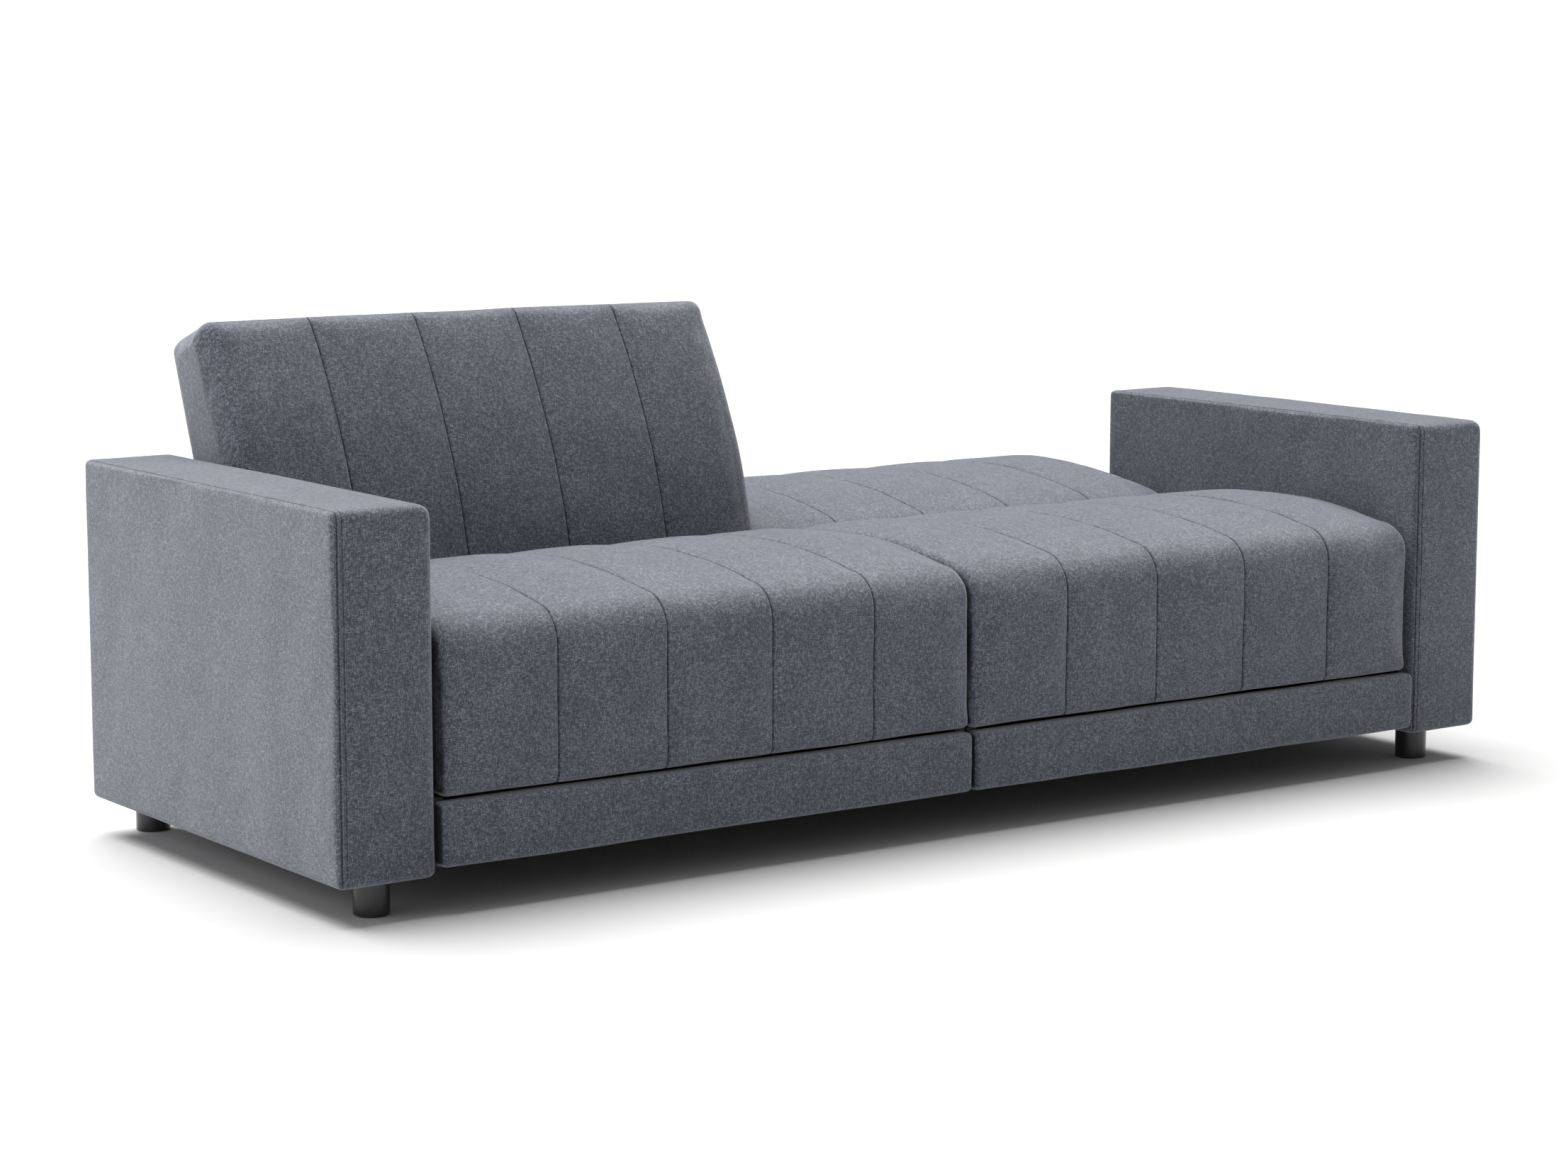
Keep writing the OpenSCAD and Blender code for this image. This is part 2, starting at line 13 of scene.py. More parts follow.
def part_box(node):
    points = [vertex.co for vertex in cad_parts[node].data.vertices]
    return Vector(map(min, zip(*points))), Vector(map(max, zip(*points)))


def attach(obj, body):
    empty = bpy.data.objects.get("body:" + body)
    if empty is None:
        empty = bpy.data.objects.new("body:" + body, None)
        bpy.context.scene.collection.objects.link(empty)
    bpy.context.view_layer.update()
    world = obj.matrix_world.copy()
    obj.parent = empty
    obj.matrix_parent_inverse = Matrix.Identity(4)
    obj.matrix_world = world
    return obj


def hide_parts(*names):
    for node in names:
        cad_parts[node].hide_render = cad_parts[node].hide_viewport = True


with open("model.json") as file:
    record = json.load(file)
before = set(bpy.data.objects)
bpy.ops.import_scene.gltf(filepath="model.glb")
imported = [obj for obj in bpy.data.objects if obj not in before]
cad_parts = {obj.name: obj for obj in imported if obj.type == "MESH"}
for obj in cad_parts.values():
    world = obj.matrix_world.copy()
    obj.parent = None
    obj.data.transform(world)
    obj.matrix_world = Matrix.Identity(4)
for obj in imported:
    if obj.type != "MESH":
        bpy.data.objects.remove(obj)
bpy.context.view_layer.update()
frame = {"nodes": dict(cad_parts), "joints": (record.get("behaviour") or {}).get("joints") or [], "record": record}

MM = 0.001
UV_MAP = "cloth"  # cloth coordinates, in metres
PAINTED_SHADE_MARK = "seam"  # painted shade at each point, in seam creases and on ends facing a gap: 0 to 1
SIDES = {"left": -1, "right": 1}  # the sign of X on each side
ROUND_STEPS = [math.radians(a) for a in (0, 20, 40, 58, 76, 90)]  # rings of a rounded end
CORNER_SHARE = 0.12  # part of a side over which the rounding changes from its neighbour's
NOISE_GAIN = 1.6  # brings Blender's noise to about -1 to 1
BEND_LENGTH = 0.05  # metres of line that one radian of turning counts for


# ---- Outlines ----

def arc(centre, radius, start, end, count):
    """Points of an arc; angles in degrees."""
    angles = np.radians(np.linspace(start, end, count + 1))
    return [(centre[0] + radius * math.cos(a), centre[1] + radius * math.sin(a)) for a in angles]


def lengths(line):
    """Distance along a line at each of its points."""
    steps = np.linalg.norm(np.diff(line, axis=0), axis=1)
    return np.concatenate([[0], np.cumsum(steps)])


def at_fractions(line, fractions):
    """Points of a line at fractions of its length."""
    line = np.asarray(line, float)
    along = lengths(line)
    where = np.asarray(fractions) * along[-1]
    return np.stack([np.interp(where, along, line[:, k]) for k in range(line.shape[1])], 1)


def bend_fractions(line, count, bend):
    """Fractions of a line, closer together where it turns. Bend is the length of one radian."""
    line = np.asarray(line, float)
    steps = np.diff(line, axis=0)
    heading = np.unwrap(np.arctan2(steps[:, 1], steps[:, 0]))
    turn = np.concatenate([[0], np.abs(np.diff(heading)), [0]])
    along = lengths(line)
    measure = along + bend * (np.cumsum(turn) - turn / 2)
    measure = (measure - measure[0]) / (measure[-1] - measure[0])
    wanted = np.linspace(0, 1, count + 1)
    return np.interp(wanted, measure, along / along[-1])


class Section:
    """A closed outline in two axes as four sides, with an inner outline for its rounded ends."""

    def __init__(self, sides, inner, counts, radii, fractions=None, bend=BEND_LENGTH):
        self.counts = counts
        outer, core, depth = [], [], []
        for k in range(4):
            cuts = bend_fractions(sides[k], counts[k], bend)
            if fractions and fractions[k] is not None:
                cuts = np.asarray(fractions[k])
            outer.append(at_fractions(sides[k], cuts)[:-1])
            core.append(at_fractions(inner[k], cuts)[:-1])
            before, here, after = radii[k - 1], radii[k], radii[(k + 1) % 4]
            places = [0, CORNER_SHARE, 1 - CORNER_SHARE, 1]
            depth.append(np.interp(cuts[:-1], places, [(before + here) / 2, here, here, (here + after) / 2]))
        self.outer = np.concatenate(outer)
        self.core = np.concatenate(core)
        self.depth = np.concatenate(depth)
        self.corners = np.concatenate([[0], np.cumsum(counts)])
        closed = np.concatenate([self.outer, self.outer[:1]])
        self.around = lengths(closed)


def inner_sides(sides, low, high, top=None, top_inset=0.0):
    """The sides, pulled inside a box; top gives the inner height at a place where it is curved."""
    pulled = []
    for side in sides:
        points = np.asarray(side, float).copy()
        points[:, 0] = np.clip(points[:, 0], low[0], high[0])
        ceiling = high[1] if top is None else top(points[:, 0]) - top_inset
        points[:, 1] = np.clip(points[:, 1], low[1], np.maximum(ceiling, low[1]))
        pulled.append(points)
    return pulled


# ---- Meshes ----

def coons(loop, corners, counts):
    """Inner points of a patch that fills a closed loop of four sides, as a grid."""
    a, b = counts[0], counts[1]
    closed = np.concatenate([loop, loop[:1]])
    bottom, right, top, left = (closed[corners[k]:corners[k + 1] + 1] for k in range(4))
    top, left = top[::-1], left[::-1]
    u = np.linspace(0, 1, a + 1)[:, None, None]
    v = np.linspace(0, 1, b + 1)[None, :, None]
    ruled = (1 - v) * bottom[:, None] + v * top[:, None]
    ruled = ruled + (1 - u) * left[None] + u * right[None]
    corner = (1 - u) * (1 - v) * bottom[0] + u * (1 - v) * bottom[-1]
    corner = corner + (1 - u) * v * top[0] + u * v * top[-1]
    return ruled - corner


class Skin:
    """Collects the points, faces and cloth coordinates of one closed form."""

    def __init__(self):
        self.points, self.faces, self.uvs = [], [], []

    def face(self, corners, uvs):
        self.faces.append(corners)
        self.uvs.extend(uvs)

    def build(self, name):
        mesh = bpy.data.meshes.new(name)
        mesh.from_pydata([tuple(p) for p in self.points], [], self.faces)
        layer = mesh.uv_layers.new(name=UV_MAP)
        layer.data.foreach_set("uv", np.asarray(self.uvs, np.float32).ravel())
        shape = bmesh.new()
        shape.from_mesh(mesh)
        bmesh.ops.recalc_face_normals(shape, faces=shape.faces)
        shape.to_mesh(mesh)
        shape.free()
        mesh.polygons.foreach_set("use_smooth", [True] * len(mesh.polygons))
        ob = bpy.data.objects.new(name, mesh)
        bpy.context.scene.collection.objects.link(ob)
        return ob


def end_rings(section):
    """How far each ring of a rounded end lies from the tip and how far it is pulled in."""
    mean = float(np.mean(section.depth))
    rings = []
    for angle in ROUND_STEPS:
        rings.append((section.depth * (1 - math.sin(angle)), 1 - math.cos(angle), mean * (1 - angle)))
    return rings


def swept_form(name, section, stations, start, end, axis, bulge=0.0):
    """A section drawn out along an axis (0 or 1), with rounded ends closed by patches."""
    rounding = end_rings(section)
    rings = [(start + depth, inset, start + mark) for depth, inset, mark in rounding[::-1]]
    rings += [(np.full(len(section.depth), place), 0.0, place) for place in stations]
    rings += [(end - depth, inset, end - mark) for depth, inset, mark in rounding]
    skin = Skin()
    size = len(section.outer)
    for along, inset, _ in rings:
        flat = section.outer + (section.core - section.outer) * inset
        skin.points.extend(np.insert(flat, axis, along, axis=1))
    for k in range(len(rings) - 1):
        u0, u1 = rings[k][2], rings[k + 1][2]
        for i in range(size):
            j = (i + 1) % size
            v0, v1 = section.around[i], section.around[i + 1]
            quad = (k * size + i, k * size + j, (k + 1) * size + j, (k + 1) * size + i)
            skin.face(quad, [(u0, v0), (u0, v1), (u1, v1), (u1, v0)])
    last = (len(rings) - 1) * size
    close_end(skin, section, 0, axis, -bulge)
    close_end(skin, section, last, axis, bulge)
    return skin.build(name)


def close_end(skin, section, first, axis, bulge):
    """Fills the ring that starts at point first with a gently bulging patch."""
    a, b = section.counts[:2]
    loop = np.asarray(skin.points[first:first + len(section.outer)])
    grid = coons(loop, section.corners, section.counts)
    rim = first + np.append(np.arange(len(loop)), 0)
    index = np.zeros((a + 1, b + 1), int)
    index[:, 0] = rim[:a + 1]
    index[a] = rim[a:a + b + 1]
    index[::-1, b] = rim[a + b:2 * a + b + 1]
    index[0, ::-1] = rim[2 * a + b:]
    for i in range(1, a):
        for j in range(1, b):
            u, v = i / a, j / b
            point = grid[i, j].copy()
            point[axis] += bulge * 16 * u * (1 - u) * v * (1 - v)
            index[i, j] = len(skin.points)
            skin.points.append(point)
    across = [k for k in range(3) if k != axis]
    for i in range(a):
        for j in range(b):
            quad = (index[i, j], index[i + 1, j], index[i + 1, j + 1], index[i, j + 1])
            quad = tuple(int(q) for q in quad)
            skin.face(quad, [tuple(skin.points[q][k] for k in across) for q in quad])


def coords(ob):
    values = np.zeros(len(ob.data.vertices) * 3)
    ob.data.vertices.foreach_get("co", values)
    return values.reshape(-1, 3)


def set_coords(ob, points):
    ob.data.vertices.foreach_set("co", np.asarray(points, float).ravel())
    ob.data.update()


def normals(ob):
    values = np.zeros(len(ob.data.vertices) * 3, np.float32)
    ob.data.vertex_normals.foreach_get("vector", values)
    return values.reshape(-1, 3).astype(float)


def apply_modifiers(ob):
    """Puts what the modifiers make of a mesh in its place."""
    graph = bpy.context.evaluated_depsgraph_get()
    final = bpy.data.meshes.new_from_object(ob.evaluated_get(graph), depsgraph=graph)
    ob.modifiers.clear()
    old = ob.data
    ob.data = final
    bpy.data.meshes.remove(old)


def subdivide(ob):
    modifier = ob.modifiers.new("smooth", "SUBSURF")
    modifier.levels = 1
    apply_modifiers(ob)


def copy_form(ob, name):
    twin = bpy.data.objects.new(name, ob.data.copy())
    bpy.context.scene.collection.objects.link(twin)
    return twin


def mirror_x(ob):
    """Mirrors a mesh in X and keeps its faces pointing outwards."""
    ob.data.transform(Matrix.Scale(-1, 4, (1, 0, 0)))
    ob.data.flip_normals()


def swell(ob, pinned, cap, pressure):
    """Blows a form up as stuffed cloth between its pinned points, moving none farther than cap."""
    rest = coords(ob)
    group = ob.vertex_groups.new(name="pinned")
    group.add([int(i) for i in np.nonzero(pinned)[0]], 1.0, "REPLACE")
    cloth = ob.modifiers.new("swell", "CLOTH")
    cloth.settings.quality = 5
    cloth.settings.vertex_group_mass = group.name
    cloth.settings.use_pressure = True
    cloth.settings.uniform_pressure_force = pressure
    cloth.settings.effector_weights.gravity = 0.0
    for number in range(1, CLOTH_FRAMES + 1):
        bpy.context.scene.frame_set(number)
    graph = bpy.context.evaluated_depsgraph_get()
    solved = coords(ob.evaluated_get(graph))
    ob.modifiers.clear()
    bpy.context.scene.frame_set(1)
    move = solved - rest
    size = np.linalg.norm(move, axis=1, keepdims=True)
    set_coords(ob, rest + move * np.minimum(1, cap / np.maximum(size, 1e-9)))
    ob.vertex_groups.clear()


def ripple(points, lumps, seed, stretch=(1, 1, 1)):
    """Smooth noise at each point. Lumps is the size and the height of its lumps."""
    size, height = lumps
    factor = np.asarray(stretch) / size
    shift = Vector((seed * 3.7, seed * 1.9, seed * 2.3))
    values = [noise.noise(Vector(p * factor) + shift) for p in points]
    return np.array(values) * NOISE_GAIN * height


def seam_dip(distance, groove):
    """A narrow sewn groove of a depth and a width: full depth on the seam, none at the width."""
    depth, width = groove
    share = np.clip(np.abs(distance) / width, 0, 1)
    return -depth * (1 - share) ** 2 * (1 + 2 * share)


# ---- Pads: seats and backs ----

CHANNELS = 5
CLOTH_FRAMES = 20
PAD_CAP = 3.5 * MM  # the farthest that the simulation may move the cloth
PAD_PRESSURE = 4.0
PAD_MARGIN = 30 * MM  # from a pad's end to its first ring
PAD_BULGE = 2 * MM
PAD_PITCH = 15 * MM  # rings of a pad, away from its seams
SEAM_RINGS = (-16, -8, -4, -1.6, 0, 1.6, 4, 8, 16)  # rings round a seam, in mm
SEAM_ROOM = 28 * MM  # from a seam to the first evenly spaced ring
SEAM_GROOVE = (1.8 * MM, 2.4 * MM)  # depth and width
# width of the painted shade along a pad's seam
SEAM_SHADE_WIDTH = 1.8 * MM
SEAM_PULL = 22 * MM  # how far from a seam the cloth is pulled
PAD_PULLS = (30 * MM, 0.5 * MM)  # size and height of the lumps
PAD_LUMPS = (110 * MM, 1.1 * MM)
SPLIT_CLEAR = 0.6 * MM  # from the middle to a pad's end
SPLIT_SOFTNESS = 0.5 * MM


def channel_seams(x0, x1):
    return [x0 + (x1 - x0) * k / CHANNELS for k in range(1, CHANNELS)]


def pad_stations(x0, x1, seams):
    """Places along a pad: close together at the sewn seams, wide apart between them."""
    near = np.array(SEAM_RINGS) * MM
    marks = [x0 + PAD_MARGIN, *seams, x1 - PAD_MARGIN]
    places = set(round(float(s + d), 6) for s in seams for d in near)
    for a, b in zip(marks[:-1], marks[1:]):
        low = a + (0 if a == marks[0] else SEAM_ROOM)
        high = b - (0 if b == marks[-1] else SEAM_ROOM)
        count = max(2, round((high - low) / PAD_PITCH))
        places.update(round(float(p), 6) for p in np.linspace(low, high, count + 1))
    return sorted(places)


def split_outline(parts):
    """Four sides from eight parts: each corner arc is shared by the two sides that it joins."""
    sides = []
    for k in (6, 0, 2, 4):
        before, middle, after = parts[k], parts[k + 1], parts[(k + 2) % 8]
        side = before[len(before) // 2:] + middle + after[:len(after) // 2 + 1]
        sides.append(drop_repeats(side))
    return sides


def drop_repeats(line):
    kept = [tuple(line[0])]
    for point in line[1:]:
        if math.dist(point, kept[-1]) > 1e-6:
            kept.append(tuple(point))
    return kept


def box_outline(x0, x1, z0, z1, radii, steps=(6, 6, 6, 6)):
    """The sides of a rectangle with a radius at each corner, round from its corner at x1, z0."""
    corners = ((x1, z0, -1, 1), (x1, z1, -1, -1), (x0, z1, 1, -1), (x0, z0, 1, 1))
    parts = []
    for k, (x, z, inward, up) in enumerate(corners):
        radius, start = radii[k], (270 + 90 * k) % 360
        centre = (x + inward * radius, z + up * radius)
        parts += [arc(centre, radius, start, start + 90, steps[k]), []]
    return split_outline(parts)


def crown_line(y0, z0, y1, z1, rise, count=14):
    """A top that arches by rise between two points."""
    line = []
    for k in range(1, count):
        t = k / count
        line.append((y0 + (y1 - y0) * t, z0 + (z1 - z0) * t + rise * 4 * t * (1 - t)))
    return line


def pad_section(parts, low, high, radii, counts, top_inset):
    """A pad's section, whose inner outline keeps below its crowned top."""
    sides = split_outline(parts)
    ys, zs = np.transpose(sorted(sides[2], key=lambda p: p[0]))
    inner = inner_sides(sides, low, high, lambda y: np.interp(y, ys, zs), top_inset)
    return Section(sides, inner, counts, radii)


SEAT_CROWN = 22 * MM
SEAT_FRONT_R = 52 * MM
SEAT_REAR_R = 28 * MM
SEAT_BASE_R = 13 * MM
SEAT_HEEL_R = 9 * MM
SEAT_END_R = 17 * MM
SEAT_EDGE_R = 10 * MM
SEAT_INNER = 8 * MM
SEAT_COUNTS = (34, 18, 34, 18)


def seat_section(low, high):
    """The seat seen from its end: a crowned top, a soft front edge and a flat base."""
    y0, y1, z0 = low.y, high.y, low.z
    flat = high.z - SEAT_CROWN
    parts = [
        arc((y1 - SEAT_HEEL_R, z0 + SEAT_HEEL_R), SEAT_HEEL_R, 270, 360, 6),
        [],
        arc((y1 - SEAT_REAR_R, flat - SEAT_REAR_R), SEAT_REAR_R, 0, 90, 8),
        crown_line(y1 - SEAT_REAR_R, flat, y0 + SEAT_FRONT_R, flat, SEAT_CROWN),
        arc((y0 + SEAT_FRONT_R, flat - SEAT_FRONT_R), SEAT_FRONT_R, 90, 180, 12),
        [],
        arc((y0 + SEAT_BASE_R, z0 + SEAT_BASE_R), SEAT_BASE_R, 180, 270, 8),
        [],
    ]
    inner_low = (y0 + SEAT_EDGE_R, z0 + SEAT_INNER)
    inner_high = (y1 - SEAT_INNER, high.z)
    radii = (SEAT_INNER, SEAT_INNER, SEAT_END_R, SEAT_EDGE_R)
    return pad_section(parts, inner_low, inner_high, radii, SEAT_COUNTS, SEAT_END_R)


BACK_CROWN = 27 * MM
BACK_ROLL_R = 120 * MM  # round the hinge, so that the pad clears the seat
BACK_TOP_R = 22 * MM
BACK_END_R = 27 * MM
BACK_REAR_R = 22 * MM
BACK_HEEL = 77 * MM  # from the hinge to the heel
BACK_HEEL_R = 7 * MM
BACK_COUNTS = (40, 16, 40, 16)


def back_section(low, high, hinge_y):
    """The back's outline lying flat: its heel rolls round the hinge."""
    y1, z0 = high.y, low.z
    flat = high.z - BACK_CROWN
    roll = arc((hinge_y, z0), BACK_ROLL_R, 100, 150, 12)
    heel = (hinge_y - BACK_HEEL, z0)
    parts = [
        arc((y1 - BACK_REAR_R, z0 + BACK_REAR_R), BACK_REAR_R, 270, 360, 8),
        [],
        arc((y1 - BACK_TOP_R, flat - BACK_TOP_R), BACK_TOP_R, 0, 90, 8),
        crown_line(y1 - BACK_TOP_R, flat, *roll[0], BACK_CROWN),
        roll,
        [],
        round_corner(roll[-1], heel, (y1, z0), BACK_HEEL_R),
        [],
    ]
    inner_low = (heel[0] - 6 * MM, z0 + 12 * MM)
    inner_high = (y1 - 20 * MM, high.z)
    radii = (12 * MM, 20 * MM, BACK_END_R, 18 * MM)
    return pad_section(parts, inner_low, inner_high, radii, BACK_COUNTS, BACK_END_R)


def round_corner(before, corner, after, radius):
    """A small curve in place of a corner."""
    c = np.array(corner)
    a = c + (np.array(before) - c) / math.dist(before, corner) * radius
    b = c + (np.array(after) - c) / math.dist(after, corner) * radius
    return [tuple(a * (1 - t) ** 2 + c * 2 * t * (1 - t) + b * t * t) for t in np.linspace(0, 1, 7)]


def padded_face(ob, rear_y):
    """How much each point belongs to a pad's sewn faces: 1 on top and front, 0 beneath and behind."""
    n = normals(ob)
    up = np.clip((n[:, 2] + 0.35) / 0.5, 0, 1)
    front = np.clip((-n[:, 1] + 0.1) / 0.4, 0, 1)
    rear = np.clip((rear_y - coords(ob)[:, 1]) / (12 * MM), 0, 1)
    return np.maximum(up, front) * rear


def make_pad(name, section, low, high):
    """One stuffed pad of the right half, with its channels swollen between the seams."""
    seams = channel_seams(low.x, high.x)
    stations = pad_stations(low.x, high.x, seams)
    ob = swept_form(name, section, stations, low.x, high.x, 0, bulge=PAD_BULGE)
    points = coords(ob)
    on_seam = np.min([np.abs(points[:, 0] - s) for s in seams], axis=0) < 2 * MM
    beneath = points[:, 2] < low.z + 6 * MM
    swell(ob, on_seam | beneath, PAD_CAP, PAD_PRESSURE)
    subdivide(ob)
    return ob, seams


def sew_pad(ob, seams, rear_y, seed):
    """Draws the seams in, paints shade into their creases and adds the small unevenness of stuffed cloth."""
    points, n = coords(ob), normals(ob)
    face = padded_face(ob, rear_y)
    gap = np.min([np.abs(points[:, 0] - s) for s in seams], axis=0)
    pull = np.exp(-gap / SEAM_PULL) * ripple(points, PAD_PULLS, seed, (0.5, 1, 1))
    soft = ripple(points, PAD_LUMPS, seed + 1)
    move = (seam_dip(gap, SEAM_GROOVE) + pull + soft) * face
    set_coords(ob, points + n * move[:, None])
    # painted shade in the seam creases, on the sewn faces
    mark_painted_shade(ob, np.clip(1.1 - gap / SEAM_SHADE_WIDTH, 0, 1) * face)


def press_at_split(ob, side):
    """Flattens a pad softly where it meets the other half, so the two never cross."""
    points = coords(ob)
    beyond = (points[:, 0] * SIDES[side] - SPLIT_CLEAR) / SPLIT_SOFTNESS
    points[:, 0] = SIDES[side] * (SPLIT_CLEAR + SPLIT_SOFTNESS * np.logaddexp(0, beyond))
    set_coords(ob, points)


def paint_shade_on_ends(ob):
    """Paints shade on the ends that face an arm or the other half, where the gap leaves them in shade."""
    facing = np.clip((np.abs(normals(ob)[:, 0]) - 0.8) / 0.18, 0, 1)
    values = np.zeros(len(facing), np.float32)
    attribute = ob.data.attributes[PAINTED_SHADE_MARK]
    attribute.data.foreach_get("value", values)
    attribute.data.foreach_set("value", np.maximum(values, facing).astype(np.float32))


def mark_painted_shade(ob, values):
    """Keeps how much painted shade each point gets, in seam creases and gaps, for the material."""
    attribute = ob.data.attributes.new(PAINTED_SHADE_MARK, "FLOAT", "POINT")
    attribute.data.foreach_set("value", np.asarray(values, np.float32))


def sharpen(ob, angle=38):
    """Flat shading across edges that turn more than angle."""
    shape = bmesh.new()
    shape.from_mesh(ob.data)
    limit = math.radians(angle)
    for edge in shape.edges:
        edge.smooth = not (len(edge.link_faces) == 2 and edge.calc_face_angle(0) > limit)
    for face in shape.faces:
        face.smooth = True
    shape.to_mesh(ob.data)
    shape.free()


def box_mesh(low, high):
    mesh = bpy.data.meshes.new("cutter")
    shape = bmesh.new()
    bmesh.ops.create_cube(shape, size=1)
    size = Vector(high) - Vector(low)
    middle = (Vector(high) + Vector(low)) / 2
    for v in shape.verts:
        v.co = Vector((v.co.x * size.x, v.co.y * size.y, v.co.z * size.z)) + middle
    shape.to_mesh(mesh)
    shape.free()
    return mesh


def cut_boxes(ob, boxes):
    """Cuts rectangular wells into a closed form."""
    for low, high in boxes:
        cutter = bpy.data.objects.new("cutter", box_mesh(low, high))
        bpy.context.scene.collection.objects.link(cutter)
        modifier = ob.modifiers.new("well", "BOOLEAN")
        modifier.operation = "DIFFERENCE"
        modifier.solver = "EXACT"
        modifier.object = cutter
        apply_modifiers(ob)
        mesh = cutter.data
        bpy.data.objects.remove(cutter)
        bpy.data.meshes.remove(mesh)


WELL_NEAR = 17.0 * MM  # from a back's end to the well
WELL_FAR = 30.6 * MM
WELL_AHEAD = 60 * MM  # from the hinge towards the seat
WELL_BEHIND = 78 * MM
WELL_BELOW = 10 * MM
WELL_HEIGHT = 46 * MM


def hinge_wells(low, high, hinge_y):
    """The room that a back leaves round its two hinges, as boxes, in the flat pose."""
    y0, y1 = hinge_y - WELL_AHEAD, hinge_y + WELL_BEHIND
    z0, z1 = low.z - WELL_BELOW, low.z + WELL_HEIGHT
    return [
        ((low.x + WELL_NEAR, y0, z0), (low.x + WELL_FAR, y1, z1)),
        ((high.x - WELL_FAR, y0, z0), (high.x - WELL_NEAR, y1, z1)),
    ]


def mirror_boxes(boxes):
    return [((-b[0], a[1], a[2]), (-a[0], b[1], b[2])) for a, b in boxes]


def stand_up(ob, joint):
    """Turns a mesh that was built flat up to the joint's upright limit."""
    pivot = Vector(joint["pos_m"])
    turn = Matrix.Rotation(math.radians(joint["range_deg"][1]), 4, "X")
    ob.data.transform(Matrix.Translation(pivot) @ turn @ Matrix.Translation(-pivot))


# ---- Arms ----

ARM_EDGE_R = 7 * MM  # the crisp edge along the top, at -X
ARM_SOFT_R = 20 * MM  # the soft edge along the top, at +X
ARM_BASE_R = 10 * MM
ARM_FACE_R = 12 * MM
ARM_INNER_LEFT = 9 * MM
ARM_INNER_RIGHT = 14 * MM
ARM_MARGIN = 22 * MM
ARM_RINGS = 54
ARM_ROWS = 66
ARM_BULGE = 1.5 * MM
ARM_CROWN = 2.2 * MM
FRONT_SEAM = 5.8 * MM  # from the arm's -X face to its front seam
SEAM_LAP = 7.0 * MM  # from there to the seam's second row
TOP_SEAM = 5 * MM
FRONT_GROOVE = (2.2 * MM, 2.4 * MM)
LAP_GROOVE = (1.4 * MM, 2.0 * MM)
TOP_GROOVE = (1.2 * MM, 2.2 * MM)
# widths of the painted shade along the arm's seams
FRONT_SHADE_WIDTH = 1.5 * MM
TOP_SHADE_WIDTH = 1.3 * MM
ARM_FOLDS = (70 * MM, 0.9 * MM)
ARM_LUMPS = (160 * MM, 1.2 * MM)
ARM_PUCKERS = (9 * MM, 1.15 * MM)
PUCKER_REACH = 6 * MM
ARM_SEEDS = {"left": 11, "right": 23}
# Columns across the arm, close together at its seams. In mm, for an arm 149 mm wide.
ARM_COLUMNS = (0, 1.5, 3, 4.4, 5.6, 7, 9, 11, 13, 15.5, 19, 24, 31, 40, 51, 63, 76, 89, 101,
               112, 121, 128, 133, 138, 143, 149)


def arm_section(low, high):
    """The arm seen from its front: a crisp sewn edge at -X and a soft one at +X."""
    x0, x1, z0, z1 = low.x, high.x, low.z, high.z
    radii = (ARM_BASE_R, ARM_SOFT_R, ARM_EDGE_R, ARM_BASE_R)
    sides = box_outline(x0, x1, z0, z1, radii, (6, 8, 6, 6))
    inner_low = (x0 + ARM_INNER_LEFT, z0 + ARM_INNER_LEFT)
    inner_high = (x1 - ARM_INNER_RIGHT, z1 - ARM_FACE_R)
    inner = inner_sides(sides, inner_low, inner_high)
    columns = np.array(ARM_COLUMNS) / ARM_COLUMNS[-1]
    count = len(columns) - 1
    fractions = [columns, None, 1 - columns[::-1], None]
    depths = (ARM_INNER_LEFT, ARM_INNER_RIGHT, ARM_FACE_R, ARM_INNER_LEFT)
    return Section(sides, inner, (count, ARM_ROWS, count, ARM_ROWS), depths, fractions, bend=0.03)


def arm_padding(points, n, low, high, seed):
    """How far the arm's flat faces stand out: a slight crown with slack folds on it."""
    flat = np.clip((np.abs(n).max(axis=1) - 0.9) / 0.1, 0, 1)
    u = (points - np.array(low)) / (np.array(high) - np.array(low))
    crown = np.ones(len(points))
    for k in range(3):
        facing = np.abs(n[:, k])
        crown *= np.where(facing > 0.7, 1, np.clip(4 * u[:, k] * (1 - u[:, k]), 0, 1))
    slant = points[:, 1] * 0.9 + points[:, 2] * 0.25
    lean = np.stack([points[:, 0], slant, points[:, 2] * 0.4], 1)
    folds = ripple(lean, ARM_FOLDS, seed) + ripple(points, ARM_LUMPS, seed + 1)
    calm = np.where(np.abs(n[:, 0]) > 0.7, 1.0, 0.3)
    return flat * (crown * ARM_CROWN + folds * calm)


def arm_seams(points, n, low, high, seed):
    """The front seam's two puckered rows and the top seam: how deep they lie and the shade painted in them."""
    front = np.clip(-1.3 * n[:, 1], 0, 1) ** 2
    top = np.clip(n[:, 2], 0, 1) ** 0.5 * (points[:, 2] > high.z - 12 * MM)
    across = points[:, 0] - low.x
    row, lap, ridge = across - FRONT_SEAM, across - FRONT_SEAM - SEAM_LAP, across - TOP_SEAM
    pucker = ripple(points, ARM_PUCKERS, seed + 2, (0.4, 1, 1))
    puff = np.exp(-((row - SEAM_LAP / 2) / PUCKER_REACH) ** 2)
    dip = seam_dip(row, FRONT_GROOVE) + seam_dip(lap, LAP_GROOVE)
    move = front * (dip + puff * pucker) + top * seam_dip(ridge, TOP_GROOVE)
    # painted shade along the seam rows' creases
    dark = np.maximum.reduce([
        front * near_line(row, FRONT_SHADE_WIDTH),
        0.5 * front * near_line(lap, FRONT_SHADE_WIDTH),
        0.8 * top * near_line(ridge, TOP_SHADE_WIDTH),
    ])
    return move, dark


def near_line(distance, width):
    """1 on a line, 0 from width away."""
    return np.clip(1 - np.abs(distance) / width, 0, 1)


